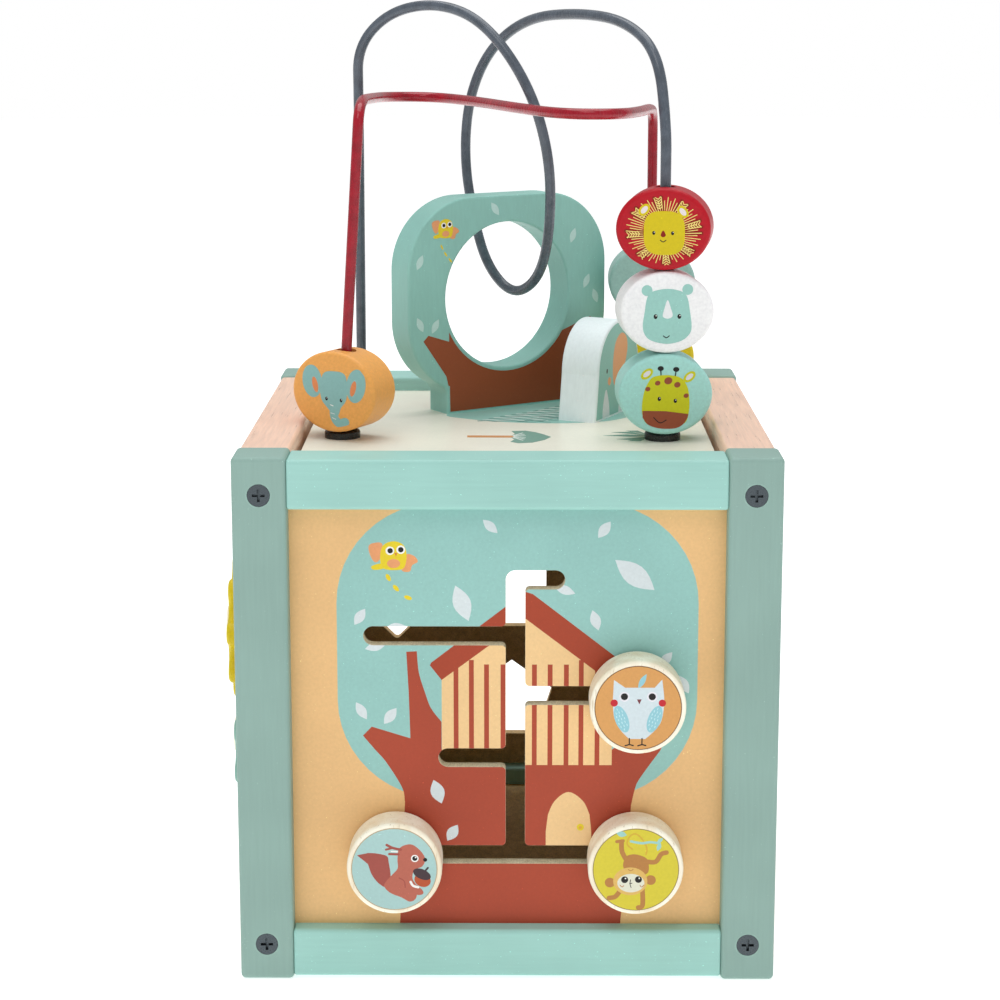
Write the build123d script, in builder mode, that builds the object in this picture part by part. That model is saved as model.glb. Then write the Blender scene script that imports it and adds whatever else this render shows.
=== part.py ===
from build123d import *

import os
from math import atan2, cos, degrees, hypot, pi, radians, sin, sqrt, tan

# Wooden activity cube: four posts and eight rails hold six recessed panels. The front panel is a
# slot maze with three sliding knobs, the left one carries meshing gears, the back one is a shape
# sorter and the right one has a door for the sorted blocks. Two bead wires, a tree plate and an
# elephant arch stand on the top panel.
# Origin: centre of the cube's square footprint. +X right, +Y back, +Z up, millimetres.

# Cube frame
cube = 200.0
half = cube / 2
post_width = 20.0
post_round = 1.8
post_centre = half - post_width / 2
rail_height = 18.5
rail_depth = 19.0
rail_inset = 0.5
rail_end_gap = 1.0
rail_round = 1.6
rail_end_round = 0.9
rail_length = cube - 2 * post_width
rail_centre = half - rail_inset - rail_depth / 2
rail_low = rail_end_gap + rail_height / 2
rail_high = cube - rail_low

# Panels stand in grooves, recessed from the outer faces
panel_thickness = 5.0
panel_recess = 7.0
panel_centre = half - panel_recess - panel_thickness / 2
panel_outer = half - panel_recess
panel_inner = panel_outer - panel_thickness
groove_depth = 3.0
groove_play = 0.5
panel_width = rail_length + 2 * (groove_depth - groove_play)
groove_bottom = rail_end_gap + rail_height - groove_depth
groove_height = cube - 2 * groove_bottom
panel_height = groove_height - 2 * groove_play
flat_panel_width = rail_length - 2.4
flat_panel_length = 2 * (rail_centre - rail_depth / 2 + groove_depth - groove_play)
top_surface = cube - panel_recess
floor_underside = panel_recess

# Screws and dowels of the frame
screw_z = (14.0, cube - 14.0)
screw_head_radius = 4.1
screw_shank_radius = 2.0
screw_head_height = 2.6
screw_length = 42.0
screw_play = 0.12
dowel_radius = 3.0
dowel_z = (8.0, cube - 8.0)
dowel_post_depth = 10.0
dowel_rail_depth = 14.0

# Slot maze of the front panel, in X and Z
slot_width = 7.2
slot_corner_round = 1.6
slot_x = 3.0
row_top, row_a, row_b, row_c, row_d = 153.0, 131.7, 108.9, 84.8, 46.9
row_top_end = 17.6
row_a_end = -49.5
row_c_end = -22.0
owl_x, squirrel_x, monkey_x = 47.6, -41.6, 47.4

# Sliding knobs
knob_radius = 17.6
knob_thickness = 13.8
knob_gap = 1.0
knob_round = 1.2
stem_radius = 3.2
stem_socket = 8.0
retainer_radius = 9.0
retainer_thickness = 5.0
retainer_gap = 0.7

# Shape sorter of the back panel, in X and Z
sorter_columns = (-50.2, 1.6, 52.0)
sorter_upper, sorter_lower = 99.5, 49.0
sorter_size = 31.0

# Door of the right panel
door_width = 100.0
door_height = 110.0
door_centre_z = 100.0
door_gap = 1.0
door_pin_radius = 1.2
door_pin_length = 16.0
door_pin_play = 0.05
finger_hole_radius = 9.0

# Gears of the left panel
gear_teeth = 9
gear_pitch_radius = 26.3
gear_mesh_play = 0.5
gear_lobe_inset = 2.0
gear_lobe_share = 0.485
gear_thickness = 12.0
gear_face = half + 8.5
gear_round = 1.5
gear_axle_radius = 4.25
gear_bore_radius = 4.3
gear_play = 0.3
gear_cap_radius = 7.5
gear_cap_height = 2.4
gear_nut_radius = 7.0
gear_nut_height = 4.0
yellow_gear_yz = (-28.0, 118.2)
teal_gear_side = 15.0
orange_gear_angle = 13.2
yellow_gear_phase = 174.0

# Bead wires
wire_radius = 2.1
wire_cap_radius = 7.0
wire_cap_height = 3.0
wire_end_depth = 12.0
wire_nut_radius = 5.0
wire_nut_height = 4.0
wire_hole_play = 0.1
dark_back_leg = (-63.0, 60.0)
dark_front_leg = (60.5, -28.0)
red_front_leg = (-65.0, -25.0)
red_back_leg = (61.0, 64.0)
red_front_top = (-57.0, -25.0, 324.0)
red_lean_start = top_surface + wire_cap_height + 2.0
red_corner_radius = 8.0

# Beads: oval discs, threaded through their height
bead_width = 36.4
bead_height = 31.5
bead_thickness = 18.5
bead_round = 1.6
bead_hole_radius = 4.0
bead_gap = 0.5
bead_rest = top_surface + wire_cap_height + 0.3

# Tree plate and elephant arch on the top panel
tree_corner = (-25.1, 23.6)
tree_turn = 33.0
tree_thickness = 14.5
crown_left, crown_right = -18.3, 79.5
crown_bottom, crown_top = 8.5, 89.5
crown_round = 30.0
trunk_width = 61.0
trunk_round = 5.0
tree_hole_centre = (30.0, 48.0)
tree_hole_radius = 30.4
arch_corner = (35.2, 3.6)
arch_turn = 64.5
arch_width = 49.0
arch_height = 39.4
arch_thickness = 16.5
arch_side_height = 19.0
arch_side_lean = 3.0
plate_round = 1.0
top_screw_length = 16.0

os.makedirs("parts", exist_ok=True)


def save(builder, name):
    """Label a finished piece and write it to its own file."""
    builder.part.label = name
    export_step(builder.part, f"parts/{name}.step")


def screw_plane(x, face_y, z):
    """A plane on the front or back face of a post, its normal pointing out of the wood."""
    return Plane(origin=(x, face_y, z), x_dir=(1, 0, 0), z_dir=(0, 1 if face_y > 0 else -1, 0))


def screw_outline(plane, play=0.0):
    """Half outline of a countersunk screw, in a plane through its axis."""
    side = Plane(origin=plane.origin, x_dir=plane.x_dir, z_dir=plane.y_dir)
    head, shank = screw_head_radius + play, screw_shank_radius + play
    inward = -1 if side.y_dir.dot(plane.z_dir) > 0 else 1
    with BuildSketch(side) as outline:
        with BuildLine():
            Polyline(
                (0, 0),
                (head, 0),
                (head, 0.5 * inward),
                (shank, (screw_head_height + play) * inward),
                (shank, (screw_length - 3) * inward),
                (0.5, screw_length * inward),
                (0, screw_length * inward),
                close=True,
            )
        make_face()
    return outline.sketch


screw_places = [(x, y, z) for x in (-post_centre, post_centre) for y in (-half, half) for z in screw_z]

# Posts: full height, grooved for the panels on the two inner sides
for end, side_y in (("front", -1), ("back", 1)):
    for hand, side_x in (("left", -1), ("right", 1)):
        with BuildPart() as post:
            with BuildSketch(Plane.XY):
                with Locations((side_x * post_centre, side_y * post_centre)):
                    Rectangle(post_width, post_width)
            extrude(amount=cube)
            fillet(post.edges(), post_round)
            with BuildSketch(Plane.XY.offset(groove_bottom)):
                with Locations((side_x * (half - post_width), side_y * panel_centre)):
                    Rectangle(2 * groove_depth, panel_thickness)
                with Locations((side_x * panel_centre, side_y * (half - post_width))):
                    Rectangle(panel_thickness, 2 * groove_depth)
            extrude(amount=groove_height, mode=Mode.SUBTRACT)
            for x, y, z in screw_places:
                if x * side_x > 0 and y * side_y > 0:
                    head_plane = screw_plane(x, y, z)
                    revolve(
                        screw_outline(head_plane, screw_play),
                        axis=Axis(head_plane.origin, head_plane.z_dir),
                        mode=Mode.SUBTRACT,
                    )
            with BuildSketch(Plane.YZ.offset(side_x * (half - post_width))):
                with Locations(*[(side_y * rail_centre, z) for z in dowel_z]):
                    Circle(dowel_radius)
            extrude(amount=side_x * dowel_post_depth, mode=Mode.SUBTRACT)
        save(post, f"post_{end}_{hand}")

# Rails: a rounded section with the panels' grooves, run between two posts.
# In the section, u points out of the cube and v points up.
for level, centre_z, up in (("bottom", rail_low, 1), ("top", rail_high, -1)):
    flat_z = floor_underside if up > 0 else top_surface - panel_thickness
    for side, plane, out in (
        ("front", Plane.YZ.offset(-rail_length / 2), -1),
        ("back", Plane.YZ.offset(-rail_length / 2), 1),
        ("left", Plane.XZ.offset(-rail_length / 2), -1),
        ("right", Plane.XZ.offset(-rail_length / 2), 1),
    ):
        with BuildPart() as rail:
            with BuildSketch(plane):
                with Locations((out * rail_centre, centre_z)):
                    RectangleRounded(rail_depth, rail_height, rail_round)
            extrude(amount=rail_length)
            run = Axis.X if side in ("front", "back") else Axis.Y
            fillet(rail.faces().filter_by(run).edges(), rail_end_round)
            with BuildSketch(plane):
                with Locations((out * panel_centre, centre_z + up * rail_height / 2)):
                    Rectangle(panel_thickness, 2 * groove_depth)
                if side in ("front", "back"):
                    with Locations((out * (rail_centre - rail_depth / 2), flat_z + panel_thickness / 2)):
                        Rectangle(2 * groove_depth, panel_thickness)
            extrude(amount=rail_length, mode=Mode.SUBTRACT)
            if side in ("front", "back"):
                with BuildSketch(Plane.YZ.offset(-rail_length / 2)):
                    with Locations((out * rail_centre, dowel_z[0] if up > 0 else dowel_z[1])):
                        Circle(dowel_radius)
                extrude(amount=dowel_rail_depth, mode=Mode.SUBTRACT)
                with BuildSketch(Plane.YZ.offset(rail_length / 2 - dowel_rail_depth)):
                    with Locations((out * rail_centre, dowel_z[0] if up > 0 else dowel_z[1])):
                        Circle(dowel_radius)
                extrude(amount=dowel_rail_depth, mode=Mode.SUBTRACT)
            else:
                for x, y, z in screw_places:
                    if x * out > 0 and abs(z - centre_z) < rail_height / 2:
                        hole_plane = screw_plane(x, y, z)
                        revolve(
                            screw_outline(hole_plane),
                            axis=Axis(hole_plane.origin, hole_plane.z_dir),
                            mode=Mode.SUBTRACT,
                        )
        save(rail, f"rail_{side}_{level}")

with BuildPart() as frame_screws:
    for x, y, z in screw_places:
        plane = screw_plane(x, y, z)
        revolve(screw_outline(plane), axis=Axis(plane.origin, plane.z_dir))
        with BuildSketch(plane.offset(-1.6)):
            Rectangle(4.6, 1.0)
            Rectangle(1.0, 4.6)
        extrude(amount=2, mode=Mode.SUBTRACT)
save(frame_screws, "frame_screws")

with BuildPart() as rail_dowels:
    for side_y in (-1, 1):
        for side_x in (-1, 1):
            start = side_x * (rail_length / 2 - dowel_rail_depth)
            with BuildSketch(Plane.YZ.offset(start)):
                with Locations(*[(side_y * rail_centre, z) for z in dowel_z]):
                    Circle(dowel_radius)
            extrude(amount=side_x * (dowel_rail_depth + dowel_post_depth))
save(rail_dowels, "rail_dowels")


def slot(start, end):
    """A round-ended slot between two centre points, in the current sketch."""
    middle = ((start[0] + end[0]) / 2, (start[1] + end[1]) / 2)
    run = hypot(end[0] - start[0], end[1] - start[1])
    with Locations(middle):
        SlotCenterToCenter(run, slot_width, rotation=degrees(atan2(end[1] - start[1], end[0] - start[0])))


def is_junction_corner(vertex):
    """Whether a vertex is a sharp corner, where a branch meets the upright slot."""
    beside = abs(abs(vertex.X - slot_x) - slot_width / 2) < 0.01
    rows = (row_a, row_b, row_c, row_d, row_top)
    return beside and any(abs(abs(vertex.Y - row) - slot_width / 2) < 0.01 for row in rows)


# Front panel: one vertical slot with branches left and right
with BuildPart() as front_maze_panel:
    with BuildSketch(Plane.XZ.offset(panel_inner)):
        with Locations((0, half)):
            Rectangle(panel_width, panel_height)
    extrude(amount=panel_thickness)
    with BuildSketch(Plane.XZ.offset(panel_inner)) as maze:
        slot((slot_x, row_d), (slot_x, row_top))
        slot((slot_x, row_top), (row_top_end, row_top))
        slot((row_a_end, row_a), (slot_x, row_a))
        slot((slot_x, row_b), (owl_x, row_b))
        slot((row_c_end, row_c), (slot_x, row_c))
        slot((squirrel_x, row_d), (monkey_x, row_d))
        fillet(maze.vertices().filter_by(is_junction_corner), slot_corner_round)
    extrude(amount=panel_thickness, mode=Mode.SUBTRACT)
save(front_maze_panel, "front_maze_panel")

# Back panel: six shape holes in two rows
with BuildPart() as back_sorter_panel:
    with BuildSketch(Plane.XZ.offset(-panel_outer)):
        with Locations((0, half)):
            Rectangle(panel_width, panel_height)
        with Locations((sorter_columns[0], sorter_upper)):
            RectangleRounded(sorter_size, sorter_size, 2, rotation=45, mode=Mode.SUBTRACT)
        with Locations((sorter_columns[1], sorter_upper)):
            RectangleRounded(sorter_size, sorter_size, 4, mode=Mode.SUBTRACT)
        with Locations((sorter_columns[2], sorter_upper)):
            RegularPolygon(radius=sorter_size * 0.62, side_count=3, rotation=90, mode=Mode.SUBTRACT)
        with Locations((sorter_columns[0], sorter_lower)):
            RegularPolygon(radius=sorter_size * 0.56, side_count=6, mode=Mode.SUBTRACT)
        with Locations((sorter_columns[1], sorter_lower)):
            RegularPolygon(radius=sorter_size * 0.62, side_count=5, rotation=90, mode=Mode.SUBTRACT)
        with Locations((sorter_columns[2], sorter_lower)):
            Circle(sorter_size / 2, mode=Mode.SUBTRACT)
    extrude(amount=panel_thickness)
save(back_sorter_panel, "back_sorter_panel")

# Top panel and floor panel lie in grooves of the front and back rails
wire_feet = [dark_back_leg, dark_front_leg, red_front_leg, red_back_leg]
tree_u = Vector(cos(radians(tree_turn)), sin(radians(tree_turn)), 0)
tree_n = Vector(-sin(radians(tree_turn)), cos(radians(tree_turn)), 0)
arch_u = Vector(cos(radians(arch_turn)), sin(radians(arch_turn)), 0)
arch_n = Vector(-sin(radians(arch_turn)), cos(radians(arch_turn)), 0)
tree_base = Vector(tree_corner[0], tree_corner[1], top_surface)
arch_base = Vector(arch_corner[0], arch_corner[1], top_surface)
top_screw_points = [
    tree_base + tree_u * (trunk_width * share) + tree_n * (tree_thickness / 2) for share in (0.22, 0.78)
] + [arch_base + arch_u * (arch_width * share) + arch_n * (arch_thickness / 2) for share in (0.27, 0.73)]

with BuildPart() as top_panel:
    with BuildSketch(Plane.XY.offset(top_surface - panel_thickness)):
        Rectangle(flat_panel_width, flat_panel_length)
        with Locations(*wire_feet):
            Circle(wire_radius + wire_hole_play, mode=Mode.SUBTRACT)
        with Locations(*[(p.X, p.Y) for p in top_screw_points]):
            Circle(screw_shank_radius + screw_play, mode=Mode.SUBTRACT)
    extrude(amount=panel_thickness)
save(top_panel, "top_panel")

with BuildPart() as floor_panel:
    with BuildSketch(Plane.XY.offset(floor_underside)):
        Rectangle(flat_panel_width, flat_panel_length)
    extrude(amount=panel_thickness)
save(floor_panel, "floor_panel")

# Gears: round lobes and round gaps joined by a common tangent point
teal_gear_yz = (
    yellow_gear_yz[0] + teal_gear_side,
    yellow_gear_yz[1] - sqrt((2 * gear_pitch_radius + gear_mesh_play) ** 2 - teal_gear_side**2),
)
gear_distance = 2 * gear_pitch_radius + gear_mesh_play
orange_gear_yz = (
    yellow_gear_yz[0] + gear_distance * cos(radians(orange_gear_angle)),
    yellow_gear_yz[1] + gear_distance * sin(radians(orange_gear_angle)),
)


def meshing_phase(other_yz):
    """Angle of a lobe on a gear whose gap faces the yellow gear's nearest lobe."""
    line = degrees(atan2(other_yz[1] - yellow_gear_yz[1], other_yz[0] - yellow_gear_yz[0]))
    offset = (yellow_gear_phase - line) % (360 / gear_teeth)
    return line + 180 - offset + 180 / gear_teeth


def gear_outline(phase):
    """Closed outline of a gear: a lobe arc and a gap arc for each tooth."""
    lobe_r, gap_r = gear_pitch_radius - gear_lobe_inset, gear_pitch_radius + gear_lobe_inset
    step = radians(360 / gear_teeth)
    reach = sqrt(lobe_r**2 + gap_r**2 - 2 * lobe_r * gap_r * cos(step / 2))
    lobe, gap = gear_lobe_share * reach, (1 - gear_lobe_share) * reach

    def polar(r, a):
        return Vector(r * cos(a), r * sin(a))

    for tooth in range(gear_teeth):
        a = radians(phase) + tooth * step
        lobe_centre = polar(lobe_r, a)
        before, after = polar(gap_r, a - step / 2), polar(gap_r, a + step / 2)
        start = lobe_centre + (before - lobe_centre) * gear_lobe_share
        end = lobe_centre + (after - lobe_centre) * gear_lobe_share
        next_start = polar(lobe_r, a + step) + (after - polar(lobe_r, a + step)) * gear_lobe_share
        ThreePointArc(start, polar(lobe_r + lobe, a), end)
        ThreePointArc(end, polar(gap_r - gap, a + step / 2), next_start)


gear_inner = gear_face - gear_thickness
gears = (
    ("yellow_gear", yellow_gear_yz, yellow_gear_phase),
    ("teal_gear", teal_gear_yz, meshing_phase(teal_gear_yz)),
    ("orange_gear", orange_gear_yz, meshing_phase(orange_gear_yz)),
)
for name, (y, z), phase in gears:
    with BuildPart() as gear:
        with BuildSketch(Plane(origin=(-gear_inner, y, z), x_dir=(0, 1, 0), z_dir=(1, 0, 0))):
            with BuildLine():
                gear_outline(phase)
            make_face()
            Circle(gear_bore_radius, mode=Mode.SUBTRACT)
        extrude(amount=-gear_thickness)
        fillet(gear.faces().sort_by(Axis.X)[0].outer_wire().edges(), gear_round)
    save(gear, name)

with BuildPart() as left_gear_panel:
    with BuildSketch(Plane.YZ.offset(-panel_outer)):
        with Locations((0, half)):
            Rectangle(panel_width, panel_height)
        with Locations(*[yz for _, yz, _ in gears]):
            Circle(gear_axle_radius, mode=Mode.SUBTRACT)
    extrude(amount=panel_thickness)
save(left_gear_panel, "left_gear_panel")

spacer_face = gear_inner - gear_play
with BuildPart() as gear_spacers:
    with BuildSketch(Plane.YZ.offset(-spacer_face)):
        with Locations(*[yz for _, yz, _ in gears]):
            Circle(gear_cap_radius)
            Circle(gear_axle_radius, mode=Mode.SUBTRACT)
    extrude(amount=spacer_face - panel_outer)
save(gear_spacers, "gear_spacers")

cap_face = gear_face + gear_play
with BuildPart() as gear_axles:
    with BuildSketch(Plane.YZ.offset(-panel_inner + gear_nut_height)):
        with Locations(*[yz for _, yz, _ in gears]):
            Circle(gear_axle_radius)
    extrude(amount=-(cap_face - panel_inner + gear_nut_height))
    with BuildSketch(Plane.YZ.offset(-cap_face)):
        with Locations(*[yz for _, yz, _ in gears]):
            Circle(gear_cap_radius)
    extrude(amount=-gear_cap_height)
    fillet(gear_axles.faces().group_by(Axis.X)[0].edges(), gear_cap_height / 2)
save(gear_axles, "gear_axles")

with BuildPart() as gear_nuts:
    with BuildSketch(Plane.YZ.offset(-panel_inner)):
        with Locations(*[yz for _, yz, _ in gears]):
            RegularPolygon(radius=gear_nut_radius, side_count=6)
            Circle(gear_axle_radius, mode=Mode.SUBTRACT)
    extrude(amount=gear_nut_height)
save(gear_nuts, "gear_nuts")

# Right panel with a door on two vertical pins; the leaf's hinge edge is a half round about the pins
door_y0, door_y1 = -door_width / 2, door_width / 2
door_z0, door_z1 = door_centre_z - door_height / 2, door_centre_z + door_height / 2
pin_y = door_y1 - panel_thickness / 2
with BuildPart() as right_panel:
    with BuildSketch(Plane.YZ.offset(panel_inner)):
        with Locations((0, half)):
            Rectangle(panel_width, panel_height)
        with Locations((0, door_centre_z)):
            Rectangle(door_width + 2 * door_gap, door_height + 2 * door_gap, mode=Mode.SUBTRACT)
    extrude(amount=panel_thickness)
    for opening_z, away in ((door_z0 - door_gap, -1), (door_z1 + door_gap, 1)):
        with BuildSketch(Plane.XY.offset(opening_z)):
            with Locations((panel_centre, pin_y)):
                Circle(door_pin_radius + door_pin_play)
        extrude(amount=away * (door_pin_length / 2 - door_gap), mode=Mode.SUBTRACT)
save(right_panel, "right_panel")

with BuildPart() as sorter_door:
    with BuildSketch(Plane.XY.offset(door_z0)):
        with Locations((panel_centre, (door_y0 + pin_y) / 2)):
            Rectangle(panel_thickness, pin_y - door_y0)
        with Locations((panel_centre, pin_y)):
            Circle(panel_thickness / 2)
    extrude(amount=door_height)
    with BuildSketch(Plane.YZ.offset(panel_inner)):
        with Locations((door_y0 + 2 * finger_hole_radius, door_centre_z)):
            Circle(finger_hole_radius)
    extrude(amount=panel_thickness, mode=Mode.SUBTRACT)
    for z in (door_z0, door_z1 - door_pin_length / 2):
        with BuildSketch(Plane.XY.offset(z)):
            with Locations((panel_centre, pin_y)):
                Circle(door_pin_radius)
        extrude(amount=door_pin_length / 2, mode=Mode.SUBTRACT)
save(sorter_door, "sorter_door")

pin_reach = door_pin_length / 2 - door_gap
with BuildPart() as door_pins:
    for z in (door_z0 - pin_reach, door_z1 - door_pin_length / 2):
        with BuildSketch(Plane.XY.offset(z)):
            with Locations((panel_centre, pin_y)):
                Circle(door_pin_radius)
        extrude(amount=door_pin_length / 2 + pin_reach)
save(door_pins, "door_pins")

# Knobs of the maze: a printed disc in front, a stem through the slot and a retaining disc behind
disc_back = panel_outer + knob_gap
retainer_front = panel_inner - retainer_gap
for name, x, z in (("owl", owl_x, row_b), ("squirrel", squirrel_x, row_d), ("monkey", monkey_x, row_d)):
    with BuildPart() as disc:
        with BuildSketch(Plane.XZ.offset(disc_back)):
            with Locations((x, z)):
                Circle(knob_radius)
        extrude(amount=knob_thickness)
        fillet(disc.edges().filter_by(GeomType.CIRCLE), knob_round)
        with BuildSketch(Plane.XZ.offset(disc_back)):
            with Locations((x, z)):
                Circle(stem_radius)
        extrude(amount=stem_socket, mode=Mode.SUBTRACT)
    save(disc, f"{name}_knob")
    with BuildPart() as stem:
        with BuildSketch(Plane.XZ.offset(retainer_front - retainer_thickness)):
            with Locations((x, z)):
                Circle(stem_radius)
        extrude(amount=disc_back + stem_socket - retainer_front + retainer_thickness)
    save(stem, f"{name}_stem")
    with BuildPart() as retainer:
        with BuildSketch(Plane.XZ.offset(retainer_front - retainer_thickness)):
            with Locations((x, z)):
                Circle(retainer_radius)
                Circle(stem_radius, mode=Mode.SUBTRACT)
        extrude(amount=retainer_thickness)
    save(retainer, f"{name}_retainer")



def rims(builder, across):
    """The edges round a plate's two flat faces, apart from those at its foot."""
    flats = builder.faces().sort_by(Axis((0, 0, 0), across))
    return [e for flat in (flats[0], flats[-1]) for e in flat.edges() if e.center().Z > top_surface + 0.1]


# Tree plate with a round hole, and the elephant arch, both standing on the top panel
tree_plane = Plane(origin=tree_base, x_dir=tree_u, z_dir=tree_n * -1)
with BuildPart() as tree_plate:
    with BuildSketch(tree_plane):
        with Locations(((crown_left + crown_right) / 2, (crown_bottom + crown_top) / 2)):
            RectangleRounded(crown_right - crown_left, crown_top - crown_bottom, crown_round)
        with Locations((trunk_width / 2, crown_top / 4)):
            Rectangle(trunk_width, crown_top / 2)
        with Locations(tree_hole_centre):
            Circle(tree_hole_radius, mode=Mode.SUBTRACT)
    extrude(amount=-tree_thickness)
    necks = tree_plate.edges().filter_by(lambda e: abs((e % 0).dot(tree_n)) > 0.99)
    inner = [e for e in necks if 3 < e.center().Z - top_surface < crown_bottom + 6]
    fillet(inner, trunk_round)
    fillet(rims(tree_plate, tree_n), plate_round)
    for point in top_screw_points[:2]:
        with BuildSketch(Plane.XY.offset(top_surface)):
            with Locations((point.X, point.Y)):
                Circle(screw_shank_radius)
        extrude(amount=top_screw_length - panel_thickness, mode=Mode.SUBTRACT)
save(tree_plate, "tree_plate")

arch_plane = Plane(origin=arch_base, x_dir=arch_u, z_dir=arch_n * -1)
with BuildPart() as elephant_arch:
    with BuildSketch(arch_plane):
        with BuildLine():
            left_foot, right_foot = (0, 0), (arch_width, 0)
            left_side = (arch_side_lean, arch_side_height)
            right_side = (arch_width - arch_side_lean, arch_side_height)
            Line(left_foot, right_foot)
            Line(right_foot, right_side)
            EllipticalCenterArc(
                (arch_width / 2, arch_side_height),
                arch_width / 2 - arch_side_lean,
                arch_height - arch_side_height,
                start_angle=0,
                arc_size=180,
            )
            Line(left_side, left_foot)
        make_face()
    extrude(amount=-arch_thickness)
    fillet(rims(elephant_arch, arch_n), plate_round)
    for point in top_screw_points[2:]:
        with BuildSketch(Plane.XY.offset(top_surface)):
            with Locations((point.X, point.Y)):
                Circle(screw_shank_radius)
        extrude(amount=top_screw_length - panel_thickness, mode=Mode.SUBTRACT)
save(elephant_arch, "elephant_arch")

with BuildPart() as top_screws:
    for point in top_screw_points:
        with BuildSketch(Plane.XY.offset(top_surface - panel_thickness)):
            with Locations((point.X, point.Y)):
                Circle(screw_shank_radius)
        extrude(amount=top_screw_length)
        with BuildSketch(Plane.XY.offset(top_surface - panel_thickness)):
            with Locations((point.X, point.Y)):
                Circle(screw_head_radius)
        extrude(amount=-2)
save(top_screws, "top_screws")


# Bead wires: bent steel wire, each one line of straight runs and arcs from foot to foot
def corner_radii(points):
    """The largest radius that each corner's two runs allow, with a little to spare."""
    radii = []
    for before, corner, after in zip(points, points[1:], points[2:]):
        a, b = Vector(*before) - Vector(*corner), Vector(*after) - Vector(*corner)
        turn = radians(180 - a.get_angle(b))
        radii.append(0.45 * min(a.length, b.length) / tan(turn / 2))
    return radii


dark_route = [
    (*dark_back_leg, top_surface - wire_end_depth),
    (*dark_back_leg, 322.0),
    (-60.0, 57.0, 343.0),
    (-49.0, 50.0, 357.5),
    (-28.0, 38.0, 361.0),
    (-9.0, 22.0, 353.0),
    (8.5, 12.0, 328.5),
    (17.0, 12.0, 299.0),
    (17.0, 20.0, 268.0),
    (12.5, 35.0, 247.5),
    (2.0, 50.0, 239.0),
    (-9.0, 61.0, 250.0),
    (-15.0, 69.0, 270.0),
    (-19.0, 73.0, 295.0),
    (-17.0, 72.0, 321.0),
    (-8.0, 65.0, 342.0),
    (8.0, 47.0, 355.0),
    (29.0, 18.0, 357.0),
    (46.0, -6.0, 354.0),
    (57.5, -23.0, 342.0),
    (*dark_front_leg, 314.0),
    (*dark_front_leg, top_surface - wire_end_depth),
]
red_route = [
    (*red_front_leg, top_surface - wire_end_depth),
    (*red_front_leg, red_lean_start),
    red_front_top,
    (-56.0, 20.0, 323.0),
    (-52.0, 58.0, 322.0),
    (-32.0, 68.0, 321.5),
    (-14.0, 40.0, 321.0),
    (4.0, -8.0, 320.5),
    (20.0, -42.0, 320.0),
    (42.0, -44.0, 320.0),
    (52.0, -4.0, 319.0),
    (58.0, 40.0, 318.0),
    (*red_back_leg, 316.0),
    (*red_back_leg, top_surface - wire_end_depth),
]

for name, route in (("dark_wire", dark_route), ("red_wire", red_route)):
    with BuildPart() as wire:
        with BuildLine() as path:
            radii = corner_radii(route)
            if name == "red_wire":
                radii[1] = radii[-1] = red_corner_radius
            FilletPolyline(*route, radius=radii)
        line = path.wires()[0]
        with BuildSketch(Plane(origin=line @ 0, z_dir=line % 0)):
            Circle(wire_radius)
        sweep(path=line)
    length = line.length
    print(name, "radii", [round(r, 1) for r in radii], "length", round(length, 1))
    print(name, "volume share", round(wire.part.volume / (pi * wire_radius**2 * length), 4))
    save(wire, name)

with BuildPart() as wire_caps:
    with BuildSketch(Plane.XY.offset(top_surface)):
        with Locations(*wire_feet):
            Circle(wire_cap_radius)
    extrude(amount=wire_cap_height)
    fillet(wire_caps.faces().group_by(Axis.Z)[-1].edges(), 1)
    with BuildSketch(Plane.XY.offset(top_surface)):
        with Locations(*wire_feet):
            Circle(wire_radius + wire_hole_play)
    extrude(amount=wire_cap_height, mode=Mode.SUBTRACT)
save(wire_caps, "wire_caps")

with BuildPart() as wire_nuts:
    with BuildSketch(Plane.XY.offset(top_surface - panel_thickness)):
        with Locations(*wire_feet):
            Circle(wire_nut_radius)
            Circle(wire_radius + wire_hole_play, mode=Mode.SUBTRACT)
    extrude(amount=-wire_nut_height)
save(wire_nuts, "wire_nuts")

# Beads on the legs: name, leg, place up the leg counted from the cap, turn about the leg
upright = Vector(0, 0, 1)
red_lean = (Vector(*red_front_top) - Vector(*red_front_leg, red_lean_start)).normalized()
pitch = bead_height + bead_gap
beads = (
    ("giraffe_bead", dark_front_leg, 0, 3.0, upright),
    ("rhino_bead", dark_front_leg, 1, 4.5, upright),
    ("lion_bead", dark_front_leg, 2, -8.7, upright),
    ("yellow_bead", red_back_leg, 0, 0.0, upright),
    ("green_bead", red_back_leg, 1, 0.0, upright),
    ("elephant_bead", red_front_leg, 0, -24.6, red_lean),
)
for name, leg, place, turn, lean in beads:
    height = bead_rest - red_lean_start + bead_height / 2 + place * pitch
    centre = Vector(*leg, red_lean_start) + lean * (height / lean.Z)
    across = Vector(cos(radians(turn)), sin(radians(turn)), 0)
    out = across.cross(lean).normalized()
    face = Plane(origin=centre, x_dir=lean.cross(out), z_dir=out)
    with BuildPart() as bead:
        with BuildSketch(face.offset(-bead_thickness / 2)):
            Ellipse(bead_width / 2, bead_height / 2)
        extrude(amount=bead_thickness)
        fillet(bead.edges().filter_by(GeomType.ELLIPSE), bead_round)
        with BuildSketch(Plane(origin=centre - lean * bead_height, z_dir=lean)):
            Circle(bead_hole_radius)
        extrude(amount=2 * bead_height, mode=Mode.SUBTRACT)
    save(bead, name)
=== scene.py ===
from math import atan2, cos, pi, radians, sin, tau

import bpy
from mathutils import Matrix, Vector
from mathutils.geometry import delaunay_2d_cdt


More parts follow.
